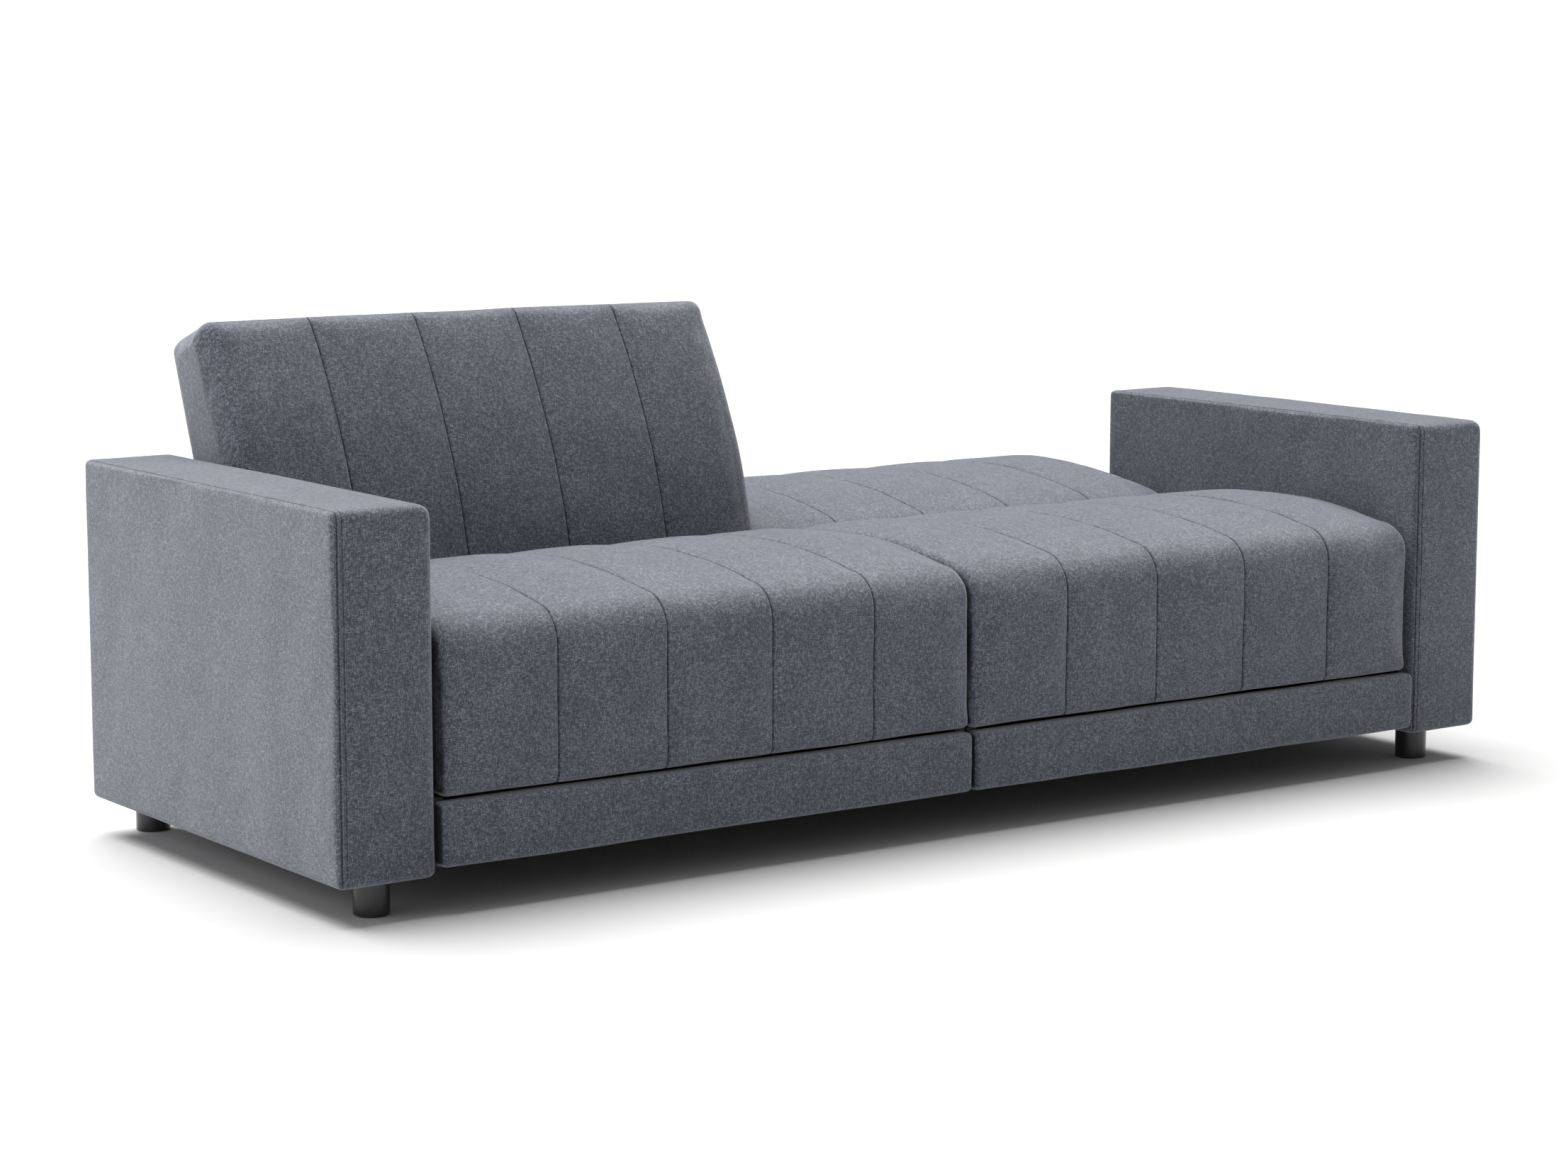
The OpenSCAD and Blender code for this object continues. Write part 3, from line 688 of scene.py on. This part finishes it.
def make_arm(side):
    """One arm in its padded cover, with its folds and seams."""
    low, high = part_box("arm_cover_" + side)
    rings = np.linspace(low.y + ARM_MARGIN, high.y - ARM_MARGIN, ARM_RINGS)
    ob = swept_form("arm_" + side, arm_section(low, high), rings, low.y, high.y, 1, bulge=ARM_BULGE)
    subdivide(ob)
    points, n = coords(ob), normals(ob)
    seed = ARM_SEEDS[side]
    seams, dark = arm_seams(points, n, low, high, seed)
    move = arm_padding(points, n, low, high, seed) + seams
    set_coords(ob, points + n * move[:, None])
    # the seams' painted crease shade, for the material
    mark_painted_shade(ob, dark)
    return ob


STITCH_ROWS = (1.9 * MM, SEAM_LAP + 1.8 * MM)
STITCH_MARGIN = 16 * MM
STITCH_PITCH = 4.6 * MM
STITCH_HALF = 1.45 * MM
STITCH_R = 0.42 * MM
STITCH_PROUD = 0.35 * MM
STITCH_SUNK = 0.1 * MM
STITCH_UVS = [(0.0, 0.0), (MM, 0.0), (MM, MM), (0.0, MM)]


def stitch_rows(ob, side):
    """Two rows of short stitches down the front seam of an arm, laid on its surface."""
    low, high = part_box("arm_cover_" + side)
    front = front_of(ob)
    skin = Skin()
    for offset in STITCH_ROWS:
        x = low.x + FRONT_SEAM + offset
        z = low.z + STITCH_MARGIN
        while z < high.z - STITCH_MARGIN:
            add_stitch(skin, front, x, z)
            z += STITCH_PITCH
    return skin.build("arm_stitches_" + side)


def front_of(ob):
    """Gives a function that finds the Y of a mesh's front at a place in X and Z."""
    points = [v.co.copy() for v in ob.data.vertices]
    tree = BVHTree.FromPolygons(points, [tuple(p.vertices) for p in ob.data.polygons])
    start = min(p.y for p in points) - 0.1
    return lambda x, z: tree.ray_cast(Vector((x, start, z)), Vector((0, 1, 0)))[0].y


def add_stitch(skin, front, x, middle):
    """One thread stitch: a small rounded rod that dips in at both ends."""
    rings, around = 5, 6
    first = len(skin.points)
    for k in range(rings):
        t = k / (rings - 1)
        z = middle - STITCH_HALF + 2 * STITCH_HALF * t
        fullness = math.sin(math.pi * (0.08 + 0.84 * t))
        y = front(x, z) - STITCH_PROUD * fullness + STITCH_SUNK
        r = STITCH_R * (0.45 + 0.55 * fullness)
        for i in range(around):
            a = 2 * math.pi * i / around
            skin.points.append((x + r * math.cos(a), y + r * math.sin(a), z))
    wrap_rod(skin, first, rings, around, STITCH_UVS)


def wrap_rod(skin, first, rings, around, uvs):
    """Faces for a closed rod whose rings of points are already there."""
    for k in range(rings - 1):
        low, high = first + k * around, first + (k + 1) * around
        for i in range(around):
            j = (i + 1) % around
            skin.face((low + i, low + j, high + j, high + i), uvs)
    for ring in (0, rings - 1):
        ids = tuple(first + ring * around + i for i in range(around))
        skin.face(ids, [(0.0, 0.0)] * around)


# ---- Rails and panels ----

BAR_RINGS = 60
RAIL_EDGE_R = 8 * MM
PANEL_EDGE_R = 6 * MM
BOARD_SIDE_R = 1 * MM  # where the cloth lies flat on its board
BAR_PULLS = (60 * MM, 0.5 * MM)
BAR_LUMPS = (180 * MM, 0.6 * MM)


def bar_section(low, high, front_r, rear_r):
    """A bar's outline in Y and Z, with its own radius at the front and at the rear."""
    y0, y1, z0, z1 = low.y, high.y, low.z, high.z
    sides = box_outline(y0, y1, z0, z1, (rear_r, rear_r, front_r, front_r))
    ends = max(front_r, rear_r)
    inner = inner_sides(sides, (y0 + front_r, z0 + ends), (y1 - rear_r, z1 - ends))
    return Section(sides, inner, (8, 16, 8, 16), (ends, rear_r, ends, front_r), bend=0.02)


def make_bar(name, low, high, front_r, rear_r, seed):
    """A board in padded cloth, along X."""
    section = bar_section(low, high, front_r, rear_r)
    margin = 2 * max(front_r, rear_r)
    places = np.linspace(low.x + margin, high.x - margin, BAR_RINGS)
    ob = swept_form(name, section, places, low.x, high.x, 0, bulge=0.5 * MM)
    subdivide(ob)
    points, n = coords(ob), normals(ob)
    soft = ripple(points, BAR_PULLS, seed, (0.5, 1, 1)) + ripple(points, BAR_LUMPS, seed + 1)
    set_coords(ob, points + n * soft[:, None])
    mark_painted_shade(ob, np.zeros(len(points)))
    return ob


# ---- Materials ----

class Paint:
    """A material under construction, with short ways to add nodes."""

    def __init__(self, name):
        self.material = bpy.data.materials.new(name)
        self.material.use_nodes = True
        self.tree = self.material.node_tree
        self.shader = self.tree.nodes["Principled BSDF"]

    def node(self, kind, sockets=None, **settings):
        """A new node with its settings and its inputs."""
        made = self.tree.nodes.new("ShaderNode" + kind)
        for key, value in settings.items():
            setattr(made, key, value)
        for key, value in (sockets or {}).items():
            self.put(made.inputs[key], value)
        return made

    def put(self, socket, value):
        if isinstance(value, bpy.types.NodeSocket):
            self.tree.links.new(value, socket)
        else:
            socket.default_value = value

    def place(self):
        return self.node("TexCoord").outputs["Object"]

    def flat(self, x, y):
        """A place from two values."""
        return self.node("CombineXYZ", {0: x, 1: y}).outputs[0]

    def math(self, operation, a, b=0.0):
        return self.node("Math", {0: a, 1: b}, operation=operation).outputs[0]

    def scaled(self, vector, scale):
        return self.node("Mapping", {"Vector": vector, "Scale": scale}).outputs[0]

    def noise(self, vector, scale, detail=2.0, rough=0.5, dims="3D"):
        sockets = {"Vector": vector, "Scale": scale, "Detail": detail, "Roughness": rough}
        return self.node("TexNoise", sockets, noise_dimensions=dims).outputs["Fac"]

    def spread(self, value, low, high, to_low=0.0, to_high=1.0):
        keys = ("Value", "From Min", "From Max", "To Min", "To Max")
        sockets = dict(zip(keys, (value, low, high, to_low, to_high)))
        return self.node("MapRange", sockets).outputs[0]

    def ramp(self, value, stops):
        made = self.node("ValToRGB", {0: value})
        elements = made.color_ramp.elements
        while len(elements) < len(stops):
            elements.new(0.5)
        for element, (place, colour) in zip(elements, stops):
            element.position = place
            element.color = (*colour, 1)
        return made.outputs[0]

    def shades(self, value, low, high, dark, light):
        """From one colour to the other as a value goes from low to high."""
        return self.ramp(self.spread(value, low, high), [(0, dark), (1, light)])

    def blend(self, share, a, b, kind="MIX"):
        sockets = {0: share, 6: a, 7: b}
        return self.node("Mix", sockets, data_type="RGBA", blend_type=kind).outputs[2]

    def bump(self, height, distance, strength):
        sockets = {"Height": height, "Distance": distance, "Strength": strength}
        self.put(self.shader.inputs["Normal"], self.node("Bump", sockets).outputs[0])

    def finish(self, **sockets):
        for key, value in sockets.items():
            self.put(self.shader.inputs[key.replace("_", " ")], value)
        return self.material


THREAD = 0.75 * MM  # width of a yarn
SLUB = 6.5 * MM  # length over which a yarn's tone changes
YARN_SHIFT = 7.31  # moves each yarn to its own part of the noise
YARN_DRIFT = 2 * MM
# near-black painted shade for seam creases and for ends facing a gap
CREASE_SHADE_COLOUR = (0.006, 0.006, 0.008, 1)
SHEEN = 0.55
# The cloth's colours, from its darkest yarns to its lightest.
SLATE = [
    (0.0, (0.037, 0.041, 0.053)),
    (0.40, (0.064, 0.071, 0.092)),
    (0.66, (0.096, 0.106, 0.133)),
    (1.0, (0.215, 0.232, 0.276)),
]


def yarn_number(p, across):
    """Which yarn a place lies on."""
    return p.math("FLOOR", p.math("DIVIDE", across, THREAD))


def yarn_tone(p, across, along):
    """A tone for each yarn, which drifts along its length. Both inputs are in metres."""
    row = p.math("MULTIPLY", yarn_number(p, across), YARN_SHIFT)
    place = p.flat(row, p.math("DIVIDE", along, SLUB))
    return p.spread(p.noise(place, 1.0, 1.0, 0.5, "2D"), 0.25, 0.75)


def wandering(p, amount):
    """Cloth coordinates in metres, pulled a little out of line as real yarns are."""
    cloth = p.node("UVMap", uv_map=UV_MAP).outputs[0]
    wander = p.node("TexNoise", {"Vector": cloth, "Scale": 40.0}, noise_dimensions="2D")
    sockets = {0: wander.outputs["Color"], 1: (amount, amount, 0), 2: cloth}
    return p.node("VectorMath", sockets, operation="MULTIPLY_ADD").outputs[0]


def yarns(p, cloth, u, v):
    """The tone of the yarn that shows: weft and warp by turns, with light slubs over both."""
    warp, weft = yarn_tone(p, u, v), yarn_tone(p, v, u)
    over = p.node("TexChecker", {"Vector": cloth, "Scale": 1 / THREAD}).outputs["Fac"]
    mixed = p.node("Mix", {0: p.spread(over, 0, 1, 0.32, 0.68), 2: warp, 3: weft}).outputs[0]
    slubs = p.spread(p.math("MAXIMUM", warp, weft), 0, 1, -0.07, 0.48)
    return p.math("ADD", p.math("MULTIPLY", mixed, 0.45), slubs)


def heather(p, cloth, u, v, yarn):
    """Adds a speckle at each crossing and faint patches to the yarns' tone."""
    cells = {"Vector": p.flat(yarn_number(p, u), yarn_number(p, v))}
    speckle = p.node("TexWhiteNoise", cells, noise_dimensions="2D").outputs["Value"]
    patches = p.noise(cloth, 26.0, 2.0, 0.6, "2D")
    clouds = p.noise(cloth, 9.0, 2.0, 0.5, "2D")
    tone = p.math("ADD", yarn, p.spread(patches, 0.3, 0.7, -0.03, 0.03))
    tone = p.math("ADD", tone, p.spread(speckle, 0, 1, -0.15, 0.15))
    return p.math("ADD", tone, p.spread(clouds, 0.3, 0.7, -0.02, 0.02))


def linen(name):
    """Heathered slate cloth: light and dark yarns crossing, with slubs both ways."""
    p = Paint(name)
    cloth = wandering(p, YARN_DRIFT)
    parts = p.node("SeparateXYZ", {0: cloth})
    u, v = parts.outputs[0], parts.outputs[1]
    yarn = yarns(p, cloth, u, v)
    colour = p.ramp(p.spread(heather(p, cloth, u, v, yarn), 0.2, 0.85), SLATE)
    tint = p.noise(p.scaled(cloth, (1 / SLUB, 1 / (4 * THREAD), 1)), 1.0, 2.0, 0.6, "2D")
    warmer = p.blend(1.0, colour, (1.12, 0.98, 0.9, 1), "MULTIPLY")
    colour = p.blend(p.spread(tint, 0.55, 0.75, 0, 0.5), colour, warmer)
    # Painted shade: the cloth darkens, and loses its sheen, in seam creases and on ends facing a gap.
    painted_shade = p.node("Attribute", attribute_name=PAINTED_SHADE_MARK).outputs["Fac"]
    colour = p.blend(p.math("MULTIPLY", painted_shade, 0.85), colour, CREASE_SHADE_COLOUR)
    height = p.math("ADD", p.math("MULTIPLY", weave_height(p, u, v), 0.6), yarn)
    p.bump(height, 0.4 * MM, 0.5)
    return p.finish(
        Base_Color=colour,
        Roughness=p.spread(yarn, 0.3, 0.7, 0.95, 0.82),
        Specular_IOR_Level=0.2,
        Sheen_Weight=p.spread(painted_shade, 0, 1, SHEEN, 0.02),
        Sheen_Roughness=0.5,
        Sheen_Tint=(0.86, 0.88, 0.93, 1),
    )


def weave_height(p, u, v):
    """Rounded yarns that cross, from 0 to 1."""
    rate = math.pi / THREAD
    across = p.math("ABSOLUTE", p.math("SINE", p.math("MULTIPLY", u, rate)))
    along = p.math("ABSOLUTE", p.math("SINE", p.math("MULTIPLY", v, rate)))
    return p.math("MULTIPLY", across, along)


def wood(name, dark, light, along):
    p = Paint(name)
    place = p.place()
    stretch = [60.0, 60.0, 60.0]
    stretch[along] = 3.0
    grain = p.noise(p.scaled(place, stretch), 1.0, 6.0, 0.65)
    pores = p.noise(p.scaled(place, [s * 12 for s in stretch]), 1.0, 2.0, 0.5)
    colour = p.shades(grain, 0.3, 0.7, dark, light)
    colour = p.blend(p.spread(pores, 0.55, 0.75, 0, 0.5), colour, (*dark, 1), "MULTIPLY")
    p.bump(grain, 0.3 * MM, 0.5)
    return p.finish(Base_Color=colour, Roughness=p.spread(grain, 0.3, 0.7, 0.75, 0.55))


def metal(name, colour, roughness, metallic, fleck):
    p = Paint(name)
    place = p.place()
    grain = p.noise(place, 900.0, 3.0, 0.6)
    worn = p.noise(place, 45.0, 4.0, 0.6)
    low = tuple(c * (1 - fleck) for c in colour)
    high = tuple(min(1, c * (1 + fleck)) for c in colour)
    shade = p.shades(worn, 0.3, 0.7, low, high)
    p.bump(grain, 0.05 * MM, 0.4)
    rough = p.spread(worn, 0.3, 0.7, roughness * 0.8, min(1, roughness * 1.25))
    return p.finish(Base_Color=shade, Roughness=rough, Metallic=metallic)


def plastic(name):
    p = Paint(name)
    place = p.place()
    scuffs = p.noise(p.scaled(place, (60, 60, 12)), 1.0, 5.0, 0.7)
    shade = p.shades(scuffs, 0.3, 0.7, (0.009, 0.009, 0.010), (0.018, 0.018, 0.019))
    p.bump(p.noise(place, 400.0, 2.0), 0.04 * MM, 0.35)
    rough = p.spread(scuffs, 0.3, 0.7, 0.22, 0.38)
    return p.finish(Base_Color=shade, Roughness=rough, Coat_Weight=0.3, Coat_Roughness=0.15)


def foam(name):
    p = Paint(name)
    cells = p.node("TexVoronoi", {"Vector": p.place(), "Scale": 600.0}).outputs["Distance"]
    shade = p.ramp(cells, [(0, (0.5, 0.43, 0.25)), (0.7, (0.78, 0.72, 0.5))])
    p.bump(cells, 0.6 * MM, 0.8)
    return p.finish(Base_Color=shade, Roughness=0.95)


def plain_cloth(name, dark, light, thread):
    """Woven strap or non-woven cloth, by place, for parts without cloth coordinates."""
    p = Paint(name)
    place = p.place()
    fibres = p.noise(p.scaled(place, (1 / thread, 0.35 / thread, 1 / thread)), 1.0, 4.0, 0.7)
    cross = p.noise(p.scaled(place, (0.35 / thread, 1 / thread, 0.35 / thread)), 1.0, 4.0, 0.7)
    tone = p.math("MULTIPLY", fibres, cross)
    shade = p.shades(tone, 0.1, 0.4, dark, light)
    p.bump(tone, 0.4 * MM, 0.6)
    return p.finish(Base_Color=shade, Roughness=0.9, Sheen_Weight=0.2)


def floor_material():
    p = Paint("studio_floor")
    pale = [(0, (0.55, 0.55, 0.553)), (1, (0.57, 0.57, 0.572))]
    shade = p.ramp(p.noise(p.place(), 3.0, 3.0), pale)
    return p.finish(Base_Color=shade, Roughness=0.8, Specular_IOR_Level=0.1)


def wear(ob, material):
    ob.data.materials.clear()
    ob.data.materials.append(material)


# ---- Scene ----

# The camera that fits the photograph: angles in degrees, the lens in mm.
CAMERA_PLACE = Vector((-3.2559, -4.6622, 1.1303))
CAMERA_AZIMUTH = 35.33
CAMERA_DIP = 8.287
CAMERA_ROLL = 0.035
CAMERA_LENS = 83.34
SENSOR_WIDTH = 36.0

SUN_STRENGTH = 6.3
SUN_SPREAD = 60  # degrees: as soft as a large box above
SUN_TRAVEL = Vector((0.0, -0.35, -0.94))
SIDE_POWER = 13
SKY_STRENGTH = 0.35
FLOOR_REACH = 90


def make_camera():
    data = bpy.data.cameras.new("camera")
    data.sensor_width = SENSOR_WIDTH
    data.lens = CAMERA_LENS
    data.clip_start = 0.1
    data.clip_end = 100
    camera = bpy.data.objects.new("camera", data)
    bpy.context.scene.collection.objects.link(camera)
    azimuth, dip = math.radians(CAMERA_AZIMUTH), math.radians(CAMERA_DIP)
    level = math.cos(dip)
    ahead = Vector((math.sin(azimuth) * level, math.cos(azimuth) * level, -math.sin(dip)))
    roll = Matrix.Rotation(math.radians(CAMERA_ROLL), 3, "Z").to_quaternion()
    camera.rotation_mode = "QUATERNION"
    camera.rotation_quaternion = ahead.to_track_quat("-Z", "Y") @ roll
    camera.location = CAMERA_PLACE
    bpy.context.scene.camera = camera


def hang(name, data, ahead):
    """Puts a light in the scene, shining along a direction."""
    light = bpy.data.objects.new(name, data)
    bpy.context.scene.collection.objects.link(light)
    light.rotation_mode = "QUATERNION"
    light.rotation_quaternion = ahead.to_track_quat("-Z", "Y")
    return light


def add_sun():
    sun = bpy.data.lights.new("softbox", "SUN")
    sun.energy = SUN_STRENGTH
    sun.angle = math.radians(SUN_SPREAD)
    sun.color = (1.0, 0.99, 0.98)
    hang("softbox", sun, SUN_TRAVEL)


def add_side_light():
    """A box at the left that brightens the near arm's side."""
    data = bpy.data.lights.new("left_box", "AREA")
    data.shape = "RECTANGLE"
    data.size = 1.8
    data.size_y = 1.2
    data.energy = SIDE_POWER
    data.color = (1.0, 0.95, 0.96)
    place = Vector((-2.9, 0.0, 0.9))
    light = hang("left_box", data, Vector((-1.0, 0.0, 0.3)) - place)
    light.location = place
    light.visible_camera = False


def make_studio():
    scene = bpy.context.scene
    scene.view_settings.view_transform = "Standard"
    make_world(scene)
    add_sun()
    add_side_light()
    r = FLOOR_REACH
    mesh = bpy.data.meshes.new("studio_floor")
    mesh.from_pydata([(-r, -r, 0), (r, -r, 0), (r, r, 0), (-r, r, 0)], [], [(0, 1, 2, 3)])
    floor = bpy.data.objects.new("studio_floor", mesh)
    scene.collection.objects.link(floor)
    wear(floor, floor_material())


def make_world(scene):
    """White behind the sofa, and a dimmer even light from all round it."""
    world = bpy.data.worlds.new("studio")
    world.use_nodes = True
    tree = world.node_tree
    glow = tree.nodes["Background"]
    glow.inputs[0].default_value = (1, 1, 1, 1)
    glow.inputs[1].default_value = SKY_STRENGTH
    seen = tree.nodes.new("ShaderNodeBackground")
    seen.inputs[0].default_value = (1, 1, 1, 1)
    path = tree.nodes.new("ShaderNodeLightPath")
    both = tree.nodes.new("ShaderNodeMixShader")
    tree.links.new(path.outputs["Is Camera Ray"], both.inputs[0])
    tree.links.new(glow.outputs[0], both.inputs[1])
    tree.links.new(seen.outputs[0], both.inputs[2])
    tree.links.new(both.outputs[0], tree.nodes["World Output"].inputs[0])
    scene.world = world


# Timber that shows in the gaps between the padded pieces, painted near-black to stand in for the shade in the
# gaps.
GAP_SHADE_PARTS = ("side_rail", "centre_rail", "front_rail", "rear_panel", "seat_frame")


def dress_cad(frame):
    """Gives every CAD node the material of its slot, or near-black timber as painted shade where it shows in a
    gap.
    """
    made = {
        "foam": foam("foam"),
        "timber": wood("timber", (0.30, 0.18, 0.09), (0.62, 0.45, 0.27), 0),
        "fibreboard": wood("fibreboard", (0.20, 0.12, 0.07), (0.34, 0.23, 0.14), 2),
        "dark_steel": metal("dark_steel", (0.03, 0.03, 0.033), 0.5, 0.2, 0.35),
        "zinc_steel": metal("zinc_steel", (0.55, 0.56, 0.58), 0.32, 1.0, 0.12),
        "black_plastic": plastic("black_plastic"),
        "webbing": plain_cloth("webbing", (0.012, 0.012, 0.013), (0.06, 0.06, 0.06), 1.2 * MM),
        "dust_cloth": plain_cloth("dust_cloth", (0.012, 0.012, 0.013), (0.045, 0.045, 0.047), 0.7 * MM),
        "upholstery": plain_cloth("upholstery_cad", (0.05, 0.056, 0.073), (0.16, 0.175, 0.21), 0.9 * MM),
    }
    # painted shade: near-black timber for the parts seen in the gaps
    gap_shade_wood = wood("gap_shade_timber", (0.010, 0.009, 0.009), (0.030, 0.026, 0.023), 0)
    for part in frame["record"]["subparts"]:
        in_gap_shade = part["node"].rsplit("_", 1)[0] in GAP_SHADE_PARTS
        material = gap_shade_wood if in_gap_shade else made[part["material_slot"]]
        wear(frame["nodes"][part["node"]], material)


def upholster(ob, material, body, nodes):
    """Dresses a soft piece, hangs it on the body it rides on and hides the CAD nodes it stands in for."""
    wear(ob, material)
    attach(ob, body)
    if nodes:
        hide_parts(*nodes)


def build_seats(cloth):
    low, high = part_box("seat_cover_right")
    pad, seams = make_pad("seat_right", seat_section(low, high), low, high)
    twin = copy_form(pad, "seat_left")
    mirror_x(twin)
    for ob, side, seed in ((pad, "right", 31), (twin, "left", 47)):
        sew_pad(ob, [s * SIDES[side] for s in seams], high.y, seed)
        press_at_split(ob, side)
        # painted shade on the ends facing the arm and the other seat
        paint_shade_on_ends(ob)
        upholster(ob, cloth, "base", ["seat_cover_" + side, "seat_foam_" + side])


def build_backs(cloth, staple_metal):
    """Both backs, built flat at the right; the left one is mirrored and stood up."""
    low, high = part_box("back_cover_right")
    joint = next(j for j in frame["joints"] if j["name"] == "right_back_recline")
    hinge_y = joint["pos_m"][1]
    pad, seams = make_pad("back_right", back_section(low, high, hinge_y), low, high)
    twin = copy_form(pad, "back_left")
    mirror_x(twin)
    wells = hinge_wells(low, high, hinge_y)
    rear_y = high.y + 20 * MM
    for ob, side, seed, boxes in (
        (pad, "right", 61, wells),
        (twin, "left", 83, mirror_boxes(wells)),
    ):
        sew_pad(ob, [s * SIDES[side] for s in seams], rear_y, seed)
        press_at_split(ob, side)
        cut_boxes(ob, boxes)
        sharpen(ob)
        if side == "left":
            stand_up(ob, joint)
        upholster(ob, cloth, side + "_back", ["back_cover_" + side, "back_foam_" + side])
        build_lining(cloth, staple_metal, side, joint, boxes)


LINING_INSET = 15 * MM
LINING_HEM = 6 * MM
LINING_PROUD = 1.6 * MM
LINING_R = 1.4 * MM
LINING_RINGS = 40
LINING_SAG = 0.9 * MM
LINING_LUMPS = (90 * MM, 0.3 * MM)
LINING_SEED = 91
HEM_SEAM = 13 * MM  # from the lining's edge
STAPLE_INSET = 7 * MM
STAPLE_PITCH = 48 * MM
STAPLE_HALF = 5.5 * MM
STAPLE_BEND = 0.8 * MM
STAPLE_R = 0.5 * MM
STAPLE_PROUD = 0.3 * MM
STAPLE_SINK = 1.2 * MM


def build_lining(cloth, staple_metal, side, joint, wells):
    """The cloth-covered board that closes a back's rear, with a staple row round it."""
    low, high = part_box("back_rear_panel_right")
    low = Vector((low.x + LINING_INSET, low.y + LINING_INSET, low.z - LINING_PROUD))
    high = Vector((high.x - LINING_INSET, high.y - LINING_INSET - LINING_HEM, high.z))
    board = make_lining("back_lining_" + side, low, high)
    staples = staple_row("back_staples_" + side, low, high)
    if side == "left":
        mirror_x(board)
        mirror_x(staples)
    cut_boxes(board, wells)
    sharpen(board)
    if side == "left":
        stand_up(board, joint)
        stand_up(staples, joint)
    upholster(board, cloth, side + "_back", ["back_rear_panel_" + side])
    wear(staples, staple_metal)
    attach(staples, side + "_back")


def make_lining(name, low, high):
    """A thin board in stretched cloth, which dips slightly inside its hem."""
    section = bar_section(low, high, LINING_R, LINING_R)
    places = np.linspace(low.x + 3 * LINING_R, high.x - 3 * LINING_R, LINING_RINGS)
    ob = swept_form(name, section, places, low.x, high.x, 0)
    points, n = coords(ob), normals(ob)
    x, y = points[:, 0], points[:, 1]
    hem = np.minimum.reduce([x - low.x, high.x - x, y - low.y, high.y - y])
    outside = n[:, 2] < -0.5
    sag = np.clip((hem - 14 * MM) / (30 * MM), 0, 1) * outside
    points[:, 2] += sag * LINING_SAG + ripple(points, LINING_LUMPS, LINING_SEED) * outside
    set_coords(ob, points)
    # painted shade along the hem's seam line
    mark_painted_shade(ob, near_line(hem - HEM_SEAM, 3 * MM) * 0.5)
    return ob


def staple_row(name, low, high):
    """Crowns of staples along the lining's hem, each a thin bar just proud of the cloth."""
    skin = Skin()
    x0, x1 = low.x + STAPLE_INSET, high.x - STAPLE_INSET
    y0, y1 = low.y + STAPLE_INSET, high.y - STAPLE_INSET
    for x in np.linspace(x0 + 30 * MM, x1 - 30 * MM, round((x1 - x0) / STAPLE_PITCH)):
        for y in (y0, y1):
            add_staple(skin, x, y, low.z, (1, 0))
    for y in np.linspace(y0 + 140 * MM, y1 - 30 * MM, round((y1 - y0) / STAPLE_PITCH) - 3):
        for x in (x0 + 16 * MM, x1 - 16 * MM):
            add_staple(skin, x, y, low.z, (0, 1))
    return skin.build(name)


def add_staple(skin, x, y, z, along):
    """One staple's crown, with its ends bent into the cloth. Along is its direction in X and Y."""
    flat_end, around = STAPLE_HALF - STAPLE_BEND, 6
    profile = [(-STAPLE_HALF, STAPLE_SINK), (-flat_end, 0.0), (flat_end, 0.0), (STAPLE_HALF, STAPLE_SINK)]
    first = len(skin.points)
    for t, sink in profile:
        for k in range(around):
            angle = 2 * math.pi * k / around
            side, lift = STAPLE_R * math.cos(angle), STAPLE_R * math.sin(angle)
            place_x = x + along[0] * t + along[1] * side
            place_y = y + along[1] * t + along[0] * side
            skin.points.append((place_x, place_y, z - STAPLE_PROUD + sink + lift))
    wrap_rod(skin, first, len(profile), around, [(0.0, 0.0)] * 4)


def build_rails(cloth):
    """The front rail's two halves and the two rear panels."""
    for side, sign in SIDES.items():
        low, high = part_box("front_rail_cover_" + side)
        rail = make_bar("rail_" + side, low, high, RAIL_EDGE_R, BOARD_SIDE_R, 5 + sign)
        # painted shade on the rail's ends, in the gaps at the arm and the middle
        paint_shade_on_ends(rail)
        upholster(rail, cloth, "base", ["front_rail_cover_" + side])
        low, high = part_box("rear_panel_cover_" + side)
        panel = make_bar("panel_" + side, low, high, BOARD_SIDE_R, PANEL_EDGE_R, 15 + sign)
        upholster(panel, cloth, "base", ["rear_panel_cover_" + side])


def build_arms(cloth, thread):
    for side in SIDES:
        arm = make_arm(side)
        stitches = stitch_rows(arm, side)
        upholster(arm, cloth, "base", ["arm_cover_" + side])
        upholster(stitches, thread, "base", [])


def thread_material():
    p = Paint("thread")
    twist = p.noise(p.place(), 2500.0, 2.0)
    shade = p.shades(twist, 0.3, 0.7, (0.10, 0.11, 0.135), (0.26, 0.28, 0.33))
    p.bump(twist, 0.1 * MM, 0.5)
    return p.finish(Base_Color=shade, Roughness=0.6, Sheen_Weight=0.2)


def main():
    make_camera()
    make_studio()
    dress_cad(frame)
    cloth = linen("linen")
    build_arms(cloth, thread_material())
    build_rails(cloth)
    build_seats(cloth)
    build_backs(cloth, frame["nodes"]["pawl_springs_left"].data.materials[0])


main()
